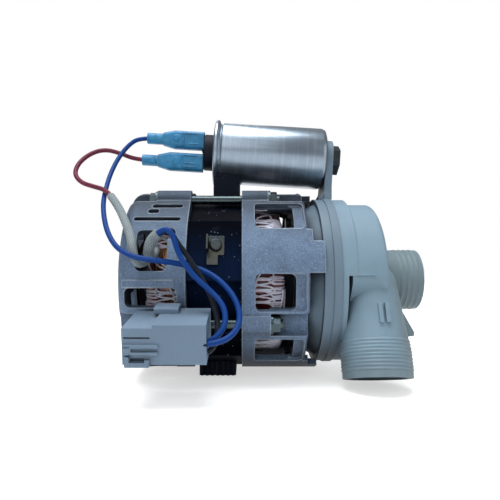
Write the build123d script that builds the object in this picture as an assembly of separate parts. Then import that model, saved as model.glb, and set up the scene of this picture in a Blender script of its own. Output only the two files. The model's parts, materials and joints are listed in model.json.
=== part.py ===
from build123d import *
import os
from math import cos, radians, sin, tan

os.makedirs("parts", exist_ok=True)

# Dishwasher circulation pump, in millimetres and degrees.
# The origin is the centre of the inlet's open face. +X runs along the shaft and out of the inlet,
# +Z points up to the capacitor, and -Y is the side of the outlet, the leads and the connector.
# An angle round the shaft is counted from -Y upwards, so +Z is at 90 degrees.

# Clearances
fit = 0.02                      # round parts seated in or on each other
seat = 0.3                      # soft and moulded parts beside their neighbours
air_gap = 0.35                  # between rotor and stator bore

# Pump head
inlet_length = 24.0
inlet_radius = 14.6
inlet_root = 6.0                # the thicker stretch by the scroll
inlet_root_radius = 15.2
port_wall = 2.4
scroll_depth = 19.5             # from the plate of the rear housing to the front face
scroll_wall = 2.3
scroll_start_radius = 31.0      # at the tongue
scroll_end_radius = 39.0        # where the outlet leaves
scroll_tongue_angle = 315.0
scroll_corner = 6.0
scroll_front_round = 2.0
rim_radius = 39.3
rim_depth = 6.5
rim_flange = 2.5
rim_gap = (-36.0, 4.0)          # the rim is open between these angles, above the outlet
neck_radius = 30.4              # the casing behind the scroll, where the rear housing plugs in
parting_rib = 0.6
outlet_radius = 14.5
outlet_straight = 11.0          # the stretch that takes the hose
outlet_taper = 29.0
outlet_rib_offsets = (-0.3, 2.5)
outlet_rib_width = 1.7
outlet_rib_span = (21.4, 29.6)  # along the outlet from its open face
fin_plane = 29.0                # in front of the shaft
fin_thickness = 1.6
fin_outline = ((-17.3, -12.5), (-15.2, -13.8), (-10.6, -21.8), (-10.6, -23.6), (-17.3, -24.4))
outlet_throat_radius = 11.3
outlet_tilt = 17.0
outlet_drop = 40.6              # the outlet's open face below the shaft
outlet_reach = 36.4             # and in front of it
outlet_setback = 4.4            # its axis behind the scroll's front face

# Rear housing of the pump, with the arm that carries the capacitor
plate_thickness = 3.5
plate_radius = 40.0
collar_depth = 10.3
collar_step = 4.0               # the stretch that the bands of the bracket butt against
collar_shoulder_radius = 37.0
collar_foot_radius = 33.5
collar_wall = 2.6
spigot_depth = 3.6
spigot_wall = 2.8
ring_section = 0.9              # radius of the O-ring's section
arm_thickness = 3.6
arm_tip_radius = 9.5
arm_base_width = 28.0
arm_rib = 2.4
rib_depth = 4.6
hub_wall = 3.0
hub_stand_back = 1.2            # behind the plate
screw_boss_wall = 2.6
screw_tip = 1.5                 # the screws end this far before the plate's front
arm_knee = 15.0                 # the arm widens from this far below the can's axis
arm_sink = 8.0                  # the arm's foot inside the plate's rim
arm_rib_inset = 4.6
arm_rib_start = 2.0             # below the can
arm_rib_knee = 5.0              # above the arm's foot
plate_screw_circle = 30.0
plate_screw_radius = 1.7
plate_screw_head = 3.4

# Motor
stack_length = 23.0
left_bracket_length = 28.8
right_bracket_length = 28.2
casting_radius = 42.5
casting_wall = 3.0
casting_plate = 3.4
stub_wall = 4.0                 # how far inside the wall a window's cut begins
left_edge_round = 6.0
right_edge_round = 1.6
window_corner = 2.2
left_windows = (                # start after the end face, end before the stack, two angles
    (8.1, 7.8, -13.5, 11.0), (3.7, 3.7, -34.0, -23.0), (5.5, 3.3, 18.0, 21.0),
    (11.0, 13.0, 24.5, 28.5), (12.3, 3.0, 29.8, 34.0))
right_windows = ((-36.5, -15.0), (12.5, 35.0))
window_start = 5.6              # after the stack
window_end = 5.8                # before the end face
ledge_depth = 1.6
ledge_margin = 1.5
band_angles = (-14.4, 4.2)
band_step = 1.6
band_step_angle = 12.0
rim_band = 5.0
rim_width = 6.3                 # of the thick rim at each casting's open end
rim_inner_radius = casting_radius - rim_width
bead_width = 3.0                # the raised bead along the front of the left casting
bead_stand_out = 0.8
bead_inset = 4.0                # from each end of the casting
lead_hole_radius = 2.7
vent_inner_radius = 19.5
left_vent_radius = 29.5
left_vent_angle = 30.0
right_vent_radius = 26.0
right_vent_angle = 26.0
bearing_hub_wall = 3.6
land_angle = 20.0               # the first of the four flats of the stack
land_inset = 2.5                # the flats lie this far inside the castings' outside
land_width = 27.0
yoke_inset = 4.5
land_distance = casting_radius - land_inset
yoke_radius = casting_radius - yoke_inset
bore_radius = 22.35
slot_count = 24
slot_inner_radius = 24.2
slot_outer_radius = 33.0
slot_inner_width = 3.2
slot_outer_width = 5.4
slot_mouth = 1.8
liner = 0.25                    # slot paper round the wires
end_turn_inner_radius = 24.6
end_turn_inset = 8.3            # inside the castings' outside, clear of their nut pockets
end_turn_outer_radius = casting_radius - end_turn_inset
end_turn_start = 1.5            # end turns clear of the stack
end_turn_length = 16.5
end_turn_round = 3.2
lacing_count = 8
lacing_thickness = 0.8
lacing_angle = 2.8
cutout_size = (4.0, 6.4, 12.0)
cutout_round = 1.2
cutout_angle = 150.0
bar_count = 18
bar_width = 2.0
bar_inner_radius = 14.5
bar_outer_radius = 20.5
end_ring_length = 5.0
end_ring_inner_radius = 13.0
end_ring_inset = 0.8            # inside the core's outside
core_bore = 6.0                 # radius of the shaft's thick stretch
core_shoulder = 8.0             # the thick stretch reaches past the core
fan_fin_count = 6
fan_fin = (3.0, 5.0, 1.6)
fan_fin_distance = 16.8
shaft_chamfer = 0.6
shaft_start = 0.2               # inside the left bearing's outer face
shaft_tip = 2.0                 # past the impeller's front shroud

# Through bolts
bolt_inset = 1.5
bolt_circle = casting_radius - bolt_inset
bolt_radius = 2.0
boss_radius = 4.4
bolt_head_radius = 4.0
bolt_head_height = 3.6
bolt_head_flange = 0.9
bolt_hex_radius = 3.5
nut_flange_radius = 4.4
nut_flange = 1.0
nut_hex_radius = 3.9
nut_height = 4.0
bolt_play = 0.2                 # round the shanks of bolts and screws
left_boss_length = 15.5
right_boss_length = 12.0
pocket_radius = 5.4
pocket_wall = 2.0
bolt_tail = 1.2

# Bearings, 8 by 22 by 7
bearing_bore = 4.0
bearing_outer = 11.0
bearing_width = 7.0
ball_circle = 7.5
ball_radius = 1.98
ball_count = 7
race_gap = 1.5                  # each race's land from the ball circle
groove_radius = 2.03
cage_half_width = 0.9
cage_thickness = 0.5
cage_gap = 0.1                  # from the balls
cage_finger_half_width = 0.6
cage_finger_angle = 14.0
shield_thickness = 0.5
shield_inset = 0.2
left_bearing_inset = 3.8        # from the end plate's outer face
right_bearing_inset = 2.0
washer_thickness = 0.5

# Shaft seal and impeller
shaft_seal_hole = 5.2
seal_cup_radius = 9.0
seal_cup_wall = 1.4
seal_depth = 3.4
seal_ring_stand_out = 0.6
face_ring_radius = 6.8
face_ring_width = 1.8
face_gap = 0.02                 # the water film between the seal's faces
bellows_radius = 7.6
bellows_waist = 6.4
impeller_radius = 25.0
impeller_eye = 12.0
impeller_back_gap = 5.2         # from the plate to the impeller's back
impeller_front_gap = 3.2        # from the scroll's front wall to the front shroud
shroud = 1.5
vane_count = 6
vane_thickness = 1.8
vane_sweep = 70.0
impeller_hub_radius = 6.6
impeller_neck = 1.6
impeller_nut_radius = 5.6
impeller_nut_height = 4.6
slinger_radius = 9.5
slinger_hub_radius = 5.6
slinger_thickness = 1.2
slinger_gap = 0.9               # from the casting's plate

# Capacitor
can_radius = 15.2
can_length = 55.5
can_tilt = 3.47
can_gap = 3.5                   # from the castings' outside up to the can
can_height = casting_radius + can_gap + can_radius
can_behind = 6.0                # its axis behind the shaft
can_seat_back = 20.0            # the can's seat on the arm behind the scroll's front face
crimp_radius = 16.5             # the rolled edge that closes the can
crimp_width = 2.2
groove_depth = 0.8
stud_radius = 4.0
cap_nut_flats = 13.0
cap_nut_height = 4.0
base_radius = 9.0
base_height = 5.0
blade_width = 6.3
blade_thickness = 0.8
blade_length = 9.0
terminal_offset = 5.6
sleeve_width = 9.2
sleeve_depth = 6.0
sleeve_skin = 0.7
upper_sleeve_length = 29.0
lower_sleeve_length = 31.0
sleeve_neck_radius = 2.8
sleeve_neck_length = 8.0
sleeve_taper_length = 6.0
socket_size = (14.0, 2.8, 7.4)
socket_reach = 12.0             # how far in the blade's slot ends
socket_gap = 2.2                # between the rolled edges
socket_curl = 1.4
barrel_radius = 1.8
barrel_inset = 4.0              # inside the sleeve's end

# Rubber parts
foot_length = 17.5
foot_front = 12.0
foot_back = 14.0
foot_drop = 2.7                 # resting face below the castings
foot_height = casting_radius + foot_drop
foot_wrap = 12.0                # up beside the stack from its lowest flat
foot_round = 2.0
foot_rib_count = 7
foot_groove_width = 1.0
foot_groove_depth = 0.8
foot_groove_start = 2.0         # below the foot's top
rubber_gap = 0.05               # between the rubber parts and the stack
pad_length = 13.0
pad_width = 20.0
pad_setback = 1.0               # behind the stack's right face
pad_wrap = 8.2                  # its top edge below the can's axis
pad_sink = 5.0                  # it starts this far below the stack's top flat

# Earth tab
tab_width = 7.2
tab_height = 11.8
tab_thickness = 0.8
tab_setback = 10.9              # its screw behind the stack's right face
tab_screw_rise = 1.6
earth_screw_radius = 1.7
earth_head_radius = 2.6

# Leads and connector
lead_radius = 1.1
sleeve_long_radius = 1.8
sleeve_short_radius = 2.2
connector_width = 30.0
connector_depth = 24.0
connector_height = 14.7
connector_tilt = 9.0
connector_centre = (-113.0, -54.85, -19.26)
connector_step = 11.0           # the lower stepped end
connector_step_drop = 1.2
latch_size = (9.5, 8.0, 2.4)
latch_place = (-1.5, 5.0)       # along the connector, and in from its back face
latch_round = 0.9
rail_size = (11.0, 1.6, 1.1)
rail_rises = (-0.4, -2.9)
rail_inset = 0.7
front_slots = (                 # rise, length, depth and height of the slots in the front
    (-5.4, 5.0, 3.0, 1.2), (2.6, 9.2, 2.2, 0.6))
front_slot_inset = 5.4
mouth_depth = 9.0
mouth_height = 8.4
mouth_wall = 2.5
terminal_rise = 0.8
terminal_size = (12.0, 4.8)
terminal_inset = 6.0            # from the mouth's open face
terminal_pitch = 6.5

# Stations along the shaft, counted back from the inlet
x_front = -inlet_length
x_plate = x_front - scroll_depth
x_rim = x_plate + rim_depth
x_collar = x_plate - plate_thickness
x_step = x_collar - collar_step
x_right_end = x_collar - collar_depth
x_stack_right = x_right_end - right_bracket_length
x_stack_left = x_stack_right - stack_length
x_left_end = x_stack_left - left_bracket_length
x_left_bearing = x_left_end + left_bearing_inset
x_right_bearing = x_right_end - right_bearing_inset - bearing_width
x_impeller = x_plate + impeller_back_gap
x_shroud = x_front - scroll_wall - impeller_front_gap
x_tab = x_stack_right - tab_setback

bolt_angles = [land_angle + 45 + 90 * k for k in range(4)]
land_angles = [land_angle + 90 * k for k in range(4)]
cross_section = Plane(origin=(0, 0, 0), x_dir=(0, 1, 0), z_dir=(1, 0, 0))


def round_bar(radius, x0, x1):
    """A round bar on the shaft's axis between two stations."""
    return Pos((x0 + x1) / 2, 0, 0) * Rot(Y=90) * Cylinder(radius, abs(x1 - x0))


def ring(outer, inner, x0, x1):
    """A plain ring on the shaft's axis."""
    return round_bar(outer, x0, x1) - round_bar(inner, x0, x1)


def turned(*outline):
    """A closed outline of (station, radius) points turned about the shaft."""
    return revolve(make_face(Polyline(*outline, close=True)), Axis.X)


def sector(x0, x1, r0, r1, a0, a1):
    """A block between two stations, two radii and two angles round the shaft."""
    outline = make_face(Polyline((x0, -r0), (x1, -r0), (x1, -r1), (x0, -r1), close=True))
    return Rot(X=-a1) * revolve(outline, Axis.X, a1 - a0)


def window(x0, x1, r0, r1, a0, a1):
    """A sector whose four edges that point away from the shaft are rounded."""
    block = sector(x0, x1, r0, r1, a0, a1)
    edges = [e for e in block.edges() if e.geom_type == GeomType.LINE and abs(e.tangent_at(0).X) < 0.5]
    height = 2 * r0 * tan(radians((a1 - a0) / 2))
    return fillet(edges, min(window_corner, 0.45 * height, 0.45 * (x1 - x0)))


def at_angle(angle, shape):
    """Turn a shape made on the -Y side to an angle round the shaft."""
    return Rot(X=-angle) * shape


def beside_shaft(shape, distance, angle):
    """Carry a shape made on the shaft's axis out to a distance and an angle."""
    return at_angle(angle, Pos(0, -distance, 0) * shape)


def section_point(radius, angle):
    """A point of the cross-section sketch from a radius and an angle round the shaft."""
    return (-radius * cos(radians(angle)), radius * sin(radians(angle)))


def group(shapes):
    """Separate solids that share one node."""
    return Compound(children=[s for shape in shapes for s in shape.solids()])


def cup(x_rim, x_end, radius, edge_round):
    """A closed drum from the rim to the end face, its far edge rounded."""
    face = make_face(Polyline((x_rim, 0), (x_rim, radius), (x_end, radius), (x_end, 0), close=True))
    corner = face.vertices().sort_by_distance((x_end, radius, 0))[0]
    return revolve(fillet(corner, edge_round), Axis.X)


def bracket_blank(x_rim, x_end, edge_round, boss_length, hub_depth):
    """Drum, rim band, bearing hub, bolt bosses and nut pockets, before its windows are cut."""
    inward = 1 if x_rim > x_end else -1
    drum = cup(x_rim, x_end, casting_radius, edge_round)
    inner_round = max(edge_round - casting_wall, 0.6)
    x_floor = x_end + inward * casting_plate
    hollow = cup(x_rim, x_floor, casting_radius - casting_wall, inner_round)
    x_boss = x_rim - inward * boss_length
    rim = ring(casting_radius, rim_inner_radius, x_rim, x_rim - inward * rim_band)
    hub = round_bar(bearing_outer + bearing_hub_wall, x_floor, x_end + inward * hub_depth)
    walls = [beside_shaft(round_bar(pocket_radius + pocket_wall, x_boss, x_end),
                          bolt_circle + 1, a) & drum for a in bolt_angles]
    bosses = [beside_shaft(round_bar(boss_radius, x_rim, x_boss), bolt_circle, a)
              for a in bolt_angles]
    blank = (drum - hollow) + [rim, hub] + walls + bosses
    pockets = [beside_shaft(round_bar(pocket_radius, x_boss, x_end - inward), bolt_circle + 1, a)
               for a in bolt_angles]
    holes = [beside_shaft(round_bar(bolt_radius + bolt_play, x_rim + inward, x_boss - inward),
                          bolt_circle, a) for a in bolt_angles]
    return blank - pockets - holes


# Left end bracket: a deep casting with a rounded end, one big window and louvres in each quarter
def left_end_bracket():
    hub_depth = left_bearing_inset + bearing_width
    blank = bracket_blank(x_stack_left, x_left_end, left_edge_round, left_boss_length, hub_depth)
    bore = round_bar(bearing_outer + fit, x_left_bearing - washer_thickness - 0.3,
                     x_left_end + hub_depth + 1)
    reach = (casting_radius - casting_wall - stub_wall, casting_radius + 1)
    cuts = [window(x_left_end + start, x_stack_left - end, *reach, a + low, a + high)
            for a in land_angles for start, end, low, high in left_windows]
    vents = [sector(x_left_end - 1, x_left_end + casting_plate + 1, vent_inner_radius, left_vent_radius,
                    a - left_vent_angle / 2, a + left_vent_angle / 2)
             for a in land_angles + bolt_angles]
    body = blank - cuts - vents - bore
    # a raised bead along the front and a round lead hole beside the front window
    bead = at_angle(-0.5, Pos((x_left_end + x_stack_left) / 2 - 1, -casting_radius - bead_stand_out
                              + casting_wall / 2, 0)
                    * Box(left_bracket_length - 2 * bead_inset, casting_wall, bead_width))
    lead_hole = at_angle(land_angle + 9, Pos(x_stack_left - 7.4, -casting_radius, 0) * Rot(X=90)
                         * Cylinder(lead_hole_radius, 3 * casting_wall))
    return body + bead - lead_hole


# Right end bracket: two windows in each quarter, the shaft passes through its plate
def right_end_bracket():
    hub_depth = right_bearing_inset + bearing_width
    blank = bracket_blank(x_stack_right, x_right_end, right_edge_round, right_boss_length, hub_depth)
    bore = round_bar(bearing_outer + fit, x_right_bearing - 1, x_right_end - right_bearing_inset)
    shaft_hole = round_bar(shaft_seal_hole + 1, x_right_bearing, x_right_end + 1)
    reach = (casting_radius - casting_wall - stub_wall, casting_radius + 1)
    x_window = x_right_end - window_end
    cuts = []
    for a in land_angles:
        for low, high in right_windows:
            cuts.append(window(x_stack_right + window_start, x_window, *reach, a + low, a + high))
            cuts.append(window(x_window - window_corner - 1, x_right_end - ledge_margin,
                               casting_radius - ledge_depth, casting_radius + 1, a + low, a + high))
    wall = (casting_radius - casting_wall, casting_radius)
    bands = [sector(x_right_end - 3, x_step, *wall, a + band_angles[0], a + band_angles[1])
             for a in land_angles]
    steps = [sector(x_right_end - 3, x_right_end + band_step, *wall, a + band_angles[1] - 1,
                    a + band_step_angle) for a in land_angles]
    vents = [sector(x_right_end - casting_plate - 1, x_right_end + 1, vent_inner_radius,
                    right_vent_radius, a - right_vent_angle / 2, a + right_vent_angle / 2)
             for a in bolt_angles]
    screw_holes = [beside_shaft(round_bar(plate_screw_radius + bolt_play, x_right_end - casting_plate - 1,
                                          x_right_end + 1), plate_screw_circle, a) for a in land_angles]
    return (blank + bands + steps) - cuts - vents - screw_holes - bore - shaft_hole


# Laminated stack: round yoke with four raised flats, the bore and the winding slots
def trapezoid(width_in, width_out, r_in, r_out, angle):
    """A tapered slot of the cross-section, pointing away from the shaft."""
    half_in = width_in / 2
    half_out = width_out / 2
    shape = Polyline((r_in, -half_in), (r_out, -half_out), (r_out, half_out), (r_in, half_in),
                     close=True)
    return Rot(Z=180 - angle) * make_face(shape)


def slot_angles():
    return [land_angle + 360 / slot_count * (k + 0.5) for k in range(slot_count)]


def stator_stack():
    outline = Circle(yoke_radius)
    for a in land_angles:
        outline += Rot(Z=180 - a) * (Pos(land_distance / 2, 0) * Rectangle(land_distance, land_width))
    outline -= Circle(bore_radius)
    for a in slot_angles():
        outline -= trapezoid(slot_inner_width, slot_outer_width, slot_inner_radius,
                             slot_outer_radius, a)
        outline -= trapezoid(slot_mouth, slot_mouth, bore_radius - 1, slot_inner_radius + 0.1, a)
    body = extrude(Pos(x_stack_left, 0, 0) * (cross_section * outline), amount=stack_length,
                   dir=(1, 0, 0))
    tapped = at_angle(land_angle, Pos(x_tab, -land_distance, tab_screw_rise) * Rot(X=90)
                      * Cylinder(earth_screw_radius, 12))
    return body - tapped


# Windings: two rings of end turns joined by the wires in the slots
def stator_winding():
    wires = Sketch()
    for a in slot_angles():
        wires += trapezoid(slot_inner_width - 2 * liner, slot_outer_width - 2 * liner,
                           slot_inner_radius + 2 * liner, slot_outer_radius - liner, a)
    length = stack_length + 2 * end_turn_start + 2
    bundle = extrude(Pos(x_stack_left - end_turn_start - 1, 0, 0) * (cross_section * wires),
                     amount=length, dir=(1, 0, 0))
    winding = bundle
    for x_face, away in ((x_stack_left, -1), (x_stack_right, 1)):
        x0 = x_face + away * end_turn_start
        x1 = x0 + away * end_turn_length
        face = make_face(Polyline((x0, end_turn_inner_radius), (x1, end_turn_inner_radius),
                                  (x1, end_turn_outer_radius), (x0, end_turn_outer_radius),
                                  close=True))
        corner = min(end_turn_round, 0.45 * (end_turn_outer_radius - end_turn_inner_radius))
        winding += revolve(fillet(face.vertices(), corner), Axis.X)
    return winding


def winding_lacing():
    """Cords tied over the end faces of the end turns."""
    ties = []
    reach = (end_turn_inner_radius + end_turn_round, end_turn_outer_radius - end_turn_round)
    for x_face, away in ((x_stack_left, -1), (x_stack_right, 1)):
        x_end = x_face + away * (end_turn_start + end_turn_length)
        x_top = x_end + away * lacing_thickness
        for k in range(lacing_count):
            a = land_angle + 360 / lacing_count * (k + 0.5)
            ties.append(sector(min(x_end, x_top), max(x_end, x_top), *reach, a - lacing_angle / 2,
                               a + lacing_angle / 2))
    return group(ties)


def thermal_cutout():
    """A small capsule tied to the end face of the left end turns, between two lacing loops."""
    x_end = x_stack_left - end_turn_start - end_turn_length
    capsule = Box(*cutout_size)
    capsule = fillet(capsule.edges().filter_by(Axis.Z), cutout_round)
    middle = (end_turn_inner_radius + end_turn_outer_radius) / 2
    return at_angle(cutout_angle, Pos(x_end - cutout_size[0] / 2, -middle, 0) * capsule)


# Clamping bolts and their flange nuts
def through_bolts():
    x_head = x_stack_left - left_boss_length
    x_nut = x_stack_right + right_boss_length
    shank = round_bar(bolt_radius, x_head, x_nut + nut_height + bolt_tail)
    head = round_bar(bolt_head_radius, x_head - bolt_head_flange, x_head)
    hexagon = Plane(origin=(x_head - bolt_head_height, 0, 0), z_dir=(1, 0, 0)) \
        * RegularPolygon(bolt_hex_radius, 6)
    bolt = shank + head + extrude(hexagon, amount=bolt_head_height, dir=(1, 0, 0))
    return group([beside_shaft(bolt, bolt_circle, a) for a in bolt_angles])


def bolt_nuts():
    x_nut = x_stack_right + right_boss_length
    flange = round_bar(nut_flange_radius, x_nut, x_nut + nut_flange)
    hexagon = Plane(origin=(x_nut, 0, 0), z_dir=(1, 0, 0)) * RegularPolygon(nut_hex_radius, 6)
    nut = flange + extrude(hexagon, amount=nut_height, dir=(1, 0, 0))
    nut -= round_bar(bolt_radius + fit, x_nut - 1, x_nut + nut_height + 1)
    return group([beside_shaft(nut, bolt_circle, a) for a in bolt_angles])


# Rotor
def motor_shaft():
    thin = bearing_bore
    x_start = x_left_bearing + shaft_start
    x_core_left = x_stack_left - core_shoulder
    x_core_right = x_stack_right + core_shoulder
    x_tip = x_shroud + shroud + shaft_tip
    return turned((x_start, 0), (x_start, thin - shaft_chamfer), (x_start + shaft_chamfer, thin),
                  (x_core_left, thin), (x_core_left, core_bore), (x_core_right, core_bore),
                  (x_core_right, thin), (x_tip - shaft_chamfer, thin), (x_tip, thin - shaft_chamfer),
                  (x_tip, 0))


def bar_slots(clearance):
    bars = Sketch()
    for k in range(bar_count):
        length = bar_outer_radius - bar_inner_radius + 2 * clearance
        middle = (bar_outer_radius + bar_inner_radius) / 2
        bars += Rot(Z=360 / bar_count * k) * (Pos(middle, 0)
                                              * Rectangle(length, bar_width + 2 * clearance))
    return bars


def rotor_core():
    disc = Circle(bore_radius - air_gap) - Circle(core_bore + fit) - bar_slots(fit)
    return extrude(Pos(x_stack_left, 0, 0) * (cross_section * disc), amount=stack_length,
                   dir=(1, 0, 0))


def rotor_cage():
    bars = extrude(Pos(x_stack_left, 0, 0) * (cross_section * bar_slots(0)), amount=stack_length,
                   dir=(1, 0, 0))
    cage = bars
    for x_face, away in ((x_stack_left, -1), (x_stack_right, 1)):
        x_ring = x_face + away * end_ring_length
        cage += ring(bore_radius - air_gap - end_ring_inset, end_ring_inner_radius, x_face, x_ring)
        fin = Pos(x_ring + away * fan_fin[0] / 2, -fan_fin_distance, 0) * Box(*fan_fin)
        for k in range(fan_fin_count):
            cage += at_angle(360 / fan_fin_count * k, fin)
    return cage


# Ball bearings
def bearing(x0):
    """Outer ring, inner ring, balls, cage and shields of a bearing that starts at a station."""
    x1 = x0 + bearing_width
    middle = (x0 + x1) / 2
    groove = revolve(Pos(middle, ball_circle) * Circle(groove_radius), Axis.X)
    land_out = ball_circle + race_gap
    land_in = ball_circle - race_gap
    outer_ring = ring(bearing_outer, land_out, x0, x1) - groove
    inner_ring = ring(land_in, bearing_bore + fit, x0, x1) - groove
    balls = [beside_shaft(Pos(middle, 0, 0) * Sphere(ball_radius), ball_circle, 360 / ball_count * k)
             for k in range(ball_count)]
    x_cage = middle + ball_radius + cage_gap
    cage = ring(ball_circle + cage_half_width, ball_circle - cage_half_width, x_cage,
                x_cage + cage_thickness)
    for k in range(ball_count):
        a = 360 / ball_count * (k + 0.5)
        cage += sector(middle - cage_finger_half_width, x_cage + cage_thickness - seat,
                       ball_circle - cage_finger_half_width, ball_circle + cage_finger_half_width,
                       a - cage_finger_angle / 2, a + cage_finger_angle / 2)
    shields = [ring(land_out - fit, land_in + seat / 2, x, x + shield_thickness)
               for x in (x0 + shield_inset, x1 - shield_inset - shield_thickness)]
    return outer_ring, inner_ring, group(balls), cage, shields


def spring_washer():
    """The waved washer that loads the left bearing, drawn at its worked height."""
    return ring(bearing_outer - 0.5, bearing_outer - 2.6, x_left_bearing - washer_thickness,
                x_left_bearing)


# Earth blade on the front flat, with its screw
def earth_tab():
    upper = Box(tab_width, tab_thickness, tab_height * 0.72)
    lower = Pos(-1.3, 0, -tab_height * 0.5) * Box(tab_width - 2.6, tab_thickness, tab_height * 0.45)
    plate = upper + lower
    blade = Pos(-tab_width / 2 + 0.4, -3.2, -0.6) * Box(tab_thickness, 6.4, blade_width)
    hole = Rot(X=90) * Cylinder(earth_screw_radius + 0.1, 3)
    tab = plate - hole + blade
    return at_angle(land_angle, Pos(x_tab, -land_distance - tab_thickness / 2, tab_screw_rise) * tab)


def earth_screw():
    head = Pos(0, -tab_thickness - 0.9, 0) * Rot(X=90) * Cylinder(earth_head_radius, 1.8)
    head = fillet(head.edges().sort_by(Axis.Y)[0], 0.7)
    shank = Pos(0, 2.2, 0) * Rot(X=90) * Cylinder(earth_screw_radius - fit, 6.0)
    screw = head + shank
    return at_angle(land_angle, Pos(x_tab, -land_distance, tab_screw_rise) * screw)


# Rubber foot under the stack and rubber saddle under the capacitor
def stack_envelope(grow):
    """The stack's outline as a solid bar, a little larger all round."""
    outline = Circle(yoke_radius + grow)
    for a in land_angles:
        outline += Rot(Z=180 - a) * (Pos((land_distance + grow) / 2, 0)
                                     * Rectangle(land_distance + grow, land_width + 2 * grow))
    return extrude(Pos(x_stack_left, 0, 0) * (cross_section * outline), amount=stack_length,
                   dir=(1, 0, 0))


def rubber_foot():
    """A block with grooves down its front, hollowed on top to fit the stack."""
    x_middle = (x_stack_left + x_stack_right) / 2
    z_top = foot_wrap - land_distance
    height = z_top + foot_height
    block = Pos(x_middle, (foot_back - foot_front) / 2, z_top - height / 2) \
        * Box(foot_length, foot_front + foot_back, height)
    block = fillet(block.edges().filter_by(Axis.Z), foot_round)
    groove = Box(foot_groove_width, 2 * foot_groove_depth, height)
    z_groove = z_top - foot_groove_start - height / 2
    grooves = []
    for k in range(foot_rib_count - 1):
        x = x_middle - foot_length / 2 + foot_length / foot_rib_count * (k + 1)
        grooves.append(Pos(x, -foot_front, z_groove) * groove)
    return block - grooves - stack_envelope(rubber_gap) - bolt_clearance()


def bolt_clearance():
    """Room for the through bolts where they pass the rubber."""
    return [beside_shaft(round_bar(bolt_radius + seat, x_stack_left - 1, x_stack_right + 1),
                         bolt_circle, a) for a in bolt_angles]


def capacitor_frame():
    """Local axes of the capacitor: x along the can away from the arm, z up."""
    along = (-cos(radians(can_tilt)), 0, sin(radians(can_tilt)))
    upward = (sin(radians(can_tilt)), 0, cos(radians(can_tilt)))
    return Plane(origin=(x_front - can_seat_back, can_behind, can_height), x_dir=along, z_dir=upward)


def capacitor_pad():
    """A block between stack and can, hollowed to fit both."""
    x_middle = x_stack_right - pad_length / 2 - pad_setback
    z_top = can_height - pad_wrap
    z_foot = land_distance - pad_sink
    block = Pos(x_middle, can_behind, (z_top + z_foot) / 2) * Box(pad_length, pad_width, z_top - z_foot)
    can = on_can(round_bar(can_radius + seat, 0, can_length))
    bead = on_can(round_bar(crimp_radius + seat, can_length - crimp_width - seat, can_length + 4))
    pad = block - can - bead - stack_envelope(rubber_gap)
    return pad.solids().sort_by(Axis.Z)[0]


# Rear housing of the pump: plate, collar, seal hub, screw bosses, spigot and capacitor arm
def pump_rear_housing():
    spigot_radius = neck_radius - scroll_wall - seat
    plate = round_bar(plate_radius, x_collar, x_plate)
    collar = turned((x_collar, plate_radius - 0.5), (x_step, plate_radius - 0.5),
                    (x_step, collar_shoulder_radius), (x_right_end, collar_foot_radius),
                    (x_right_end, collar_foot_radius - collar_wall),
                    (x_step, collar_shoulder_radius - collar_wall),
                    (x_collar, collar_shoulder_radius - collar_wall))
    spigot = ring(spigot_radius, spigot_radius - spigot_wall, x_plate, x_plate + spigot_depth)
    hub = round_bar(seal_cup_radius + hub_wall, x_collar - hub_stand_back, x_plate)
    bosses = [beside_shaft(round_bar(plate_screw_radius + screw_boss_wall, x_right_end, x_collar),
                           plate_screw_circle, a) for a in land_angles]
    body = plate + [collar, spigot, hub] + bosses + capacitor_arm()
    groove_floor = spigot_radius - 2 * ring_section + 0.1
    groove = ring(spigot_radius + 1, groove_floor, x_plate + 0.5, x_plate + 0.7 + 2 * ring_section)
    seal_pocket = round_bar(seal_cup_radius + fit, x_plate - seal_depth, x_plate + 1)
    shaft_hole = round_bar(shaft_seal_hole, x_collar - 2, x_plate)
    screw_holes = [beside_shaft(round_bar(plate_screw_radius + fit, x_right_end - 1,
                                          x_plate - screw_tip + 0.5),
                                plate_screw_circle, a) for a in land_angles]
    return body - [groove, seal_pocket, shaft_hole] - screw_holes


def capacitor_arm():
    """Tapered arm square to the can, from the housing plate up to the stud, with two back ribs."""
    frame = capacitor_frame()
    foot = plate_radius - arm_sink - can_height
    outline = make_face(Polyline((-arm_tip_radius, 0), (-arm_tip_radius, -arm_knee),
                                 (-arm_base_width / 2, foot), (arm_base_width / 2, foot),
                                 (arm_tip_radius, -arm_knee), (arm_tip_radius, 0), close=True))
    outline += Circle(arm_tip_radius)
    outline -= Circle(stud_radius + 0.3)
    face = Plane(origin=(0, 0, 0), x_dir=(0, 1, 0), z_dir=(1, 0, 0)) * outline
    arm = extrude(face, amount=arm_thickness, dir=(-1, 0, 0))
    ribs = []
    for side in (-1, 1):
        rib = make_face(Polyline((0, -can_radius - arm_rib_start), (0, foot), (rib_depth, foot),
                                 (rib_depth * 0.8, foot + arm_rib_knee), close=True))
        rib = Plane(origin=(0, side * (arm_base_width / 2 - arm_rib_inset), 0), x_dir=(1, 0, 0),
                    z_dir=(0, -1, 0)) * rib
        ribs.append(extrude(rib, amount=arm_rib / 2, both=True))
    shape = frame * (arm + ribs)
    reach = can_height - plate_radius + 1.5 * arm_sink
    keep = Pos(x_plate, 0, can_height) * Box(60, 2 * plate_radius, 2 * reach)
    return (shape & keep) - round_bar(rim_radius + seat, x_plate, x_plate + 10)


def rear_housing_screws():
    x_floor = x_right_end - casting_plate
    shank = round_bar(plate_screw_radius, x_floor - 0.5, x_plate - screw_tip)
    head = round_bar(plate_screw_head, x_floor - 2.2, x_floor)
    return group([beside_shaft(shank + head, plate_screw_circle, a) for a in land_angles])


def housing_o_ring():
    radius = neck_radius - scroll_wall - seat - ring_section + 0.15
    section = Pos(x_plate + 0.6 + ring_section, radius) * Circle(ring_section)
    return revolve(section, Axis.X)


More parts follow.
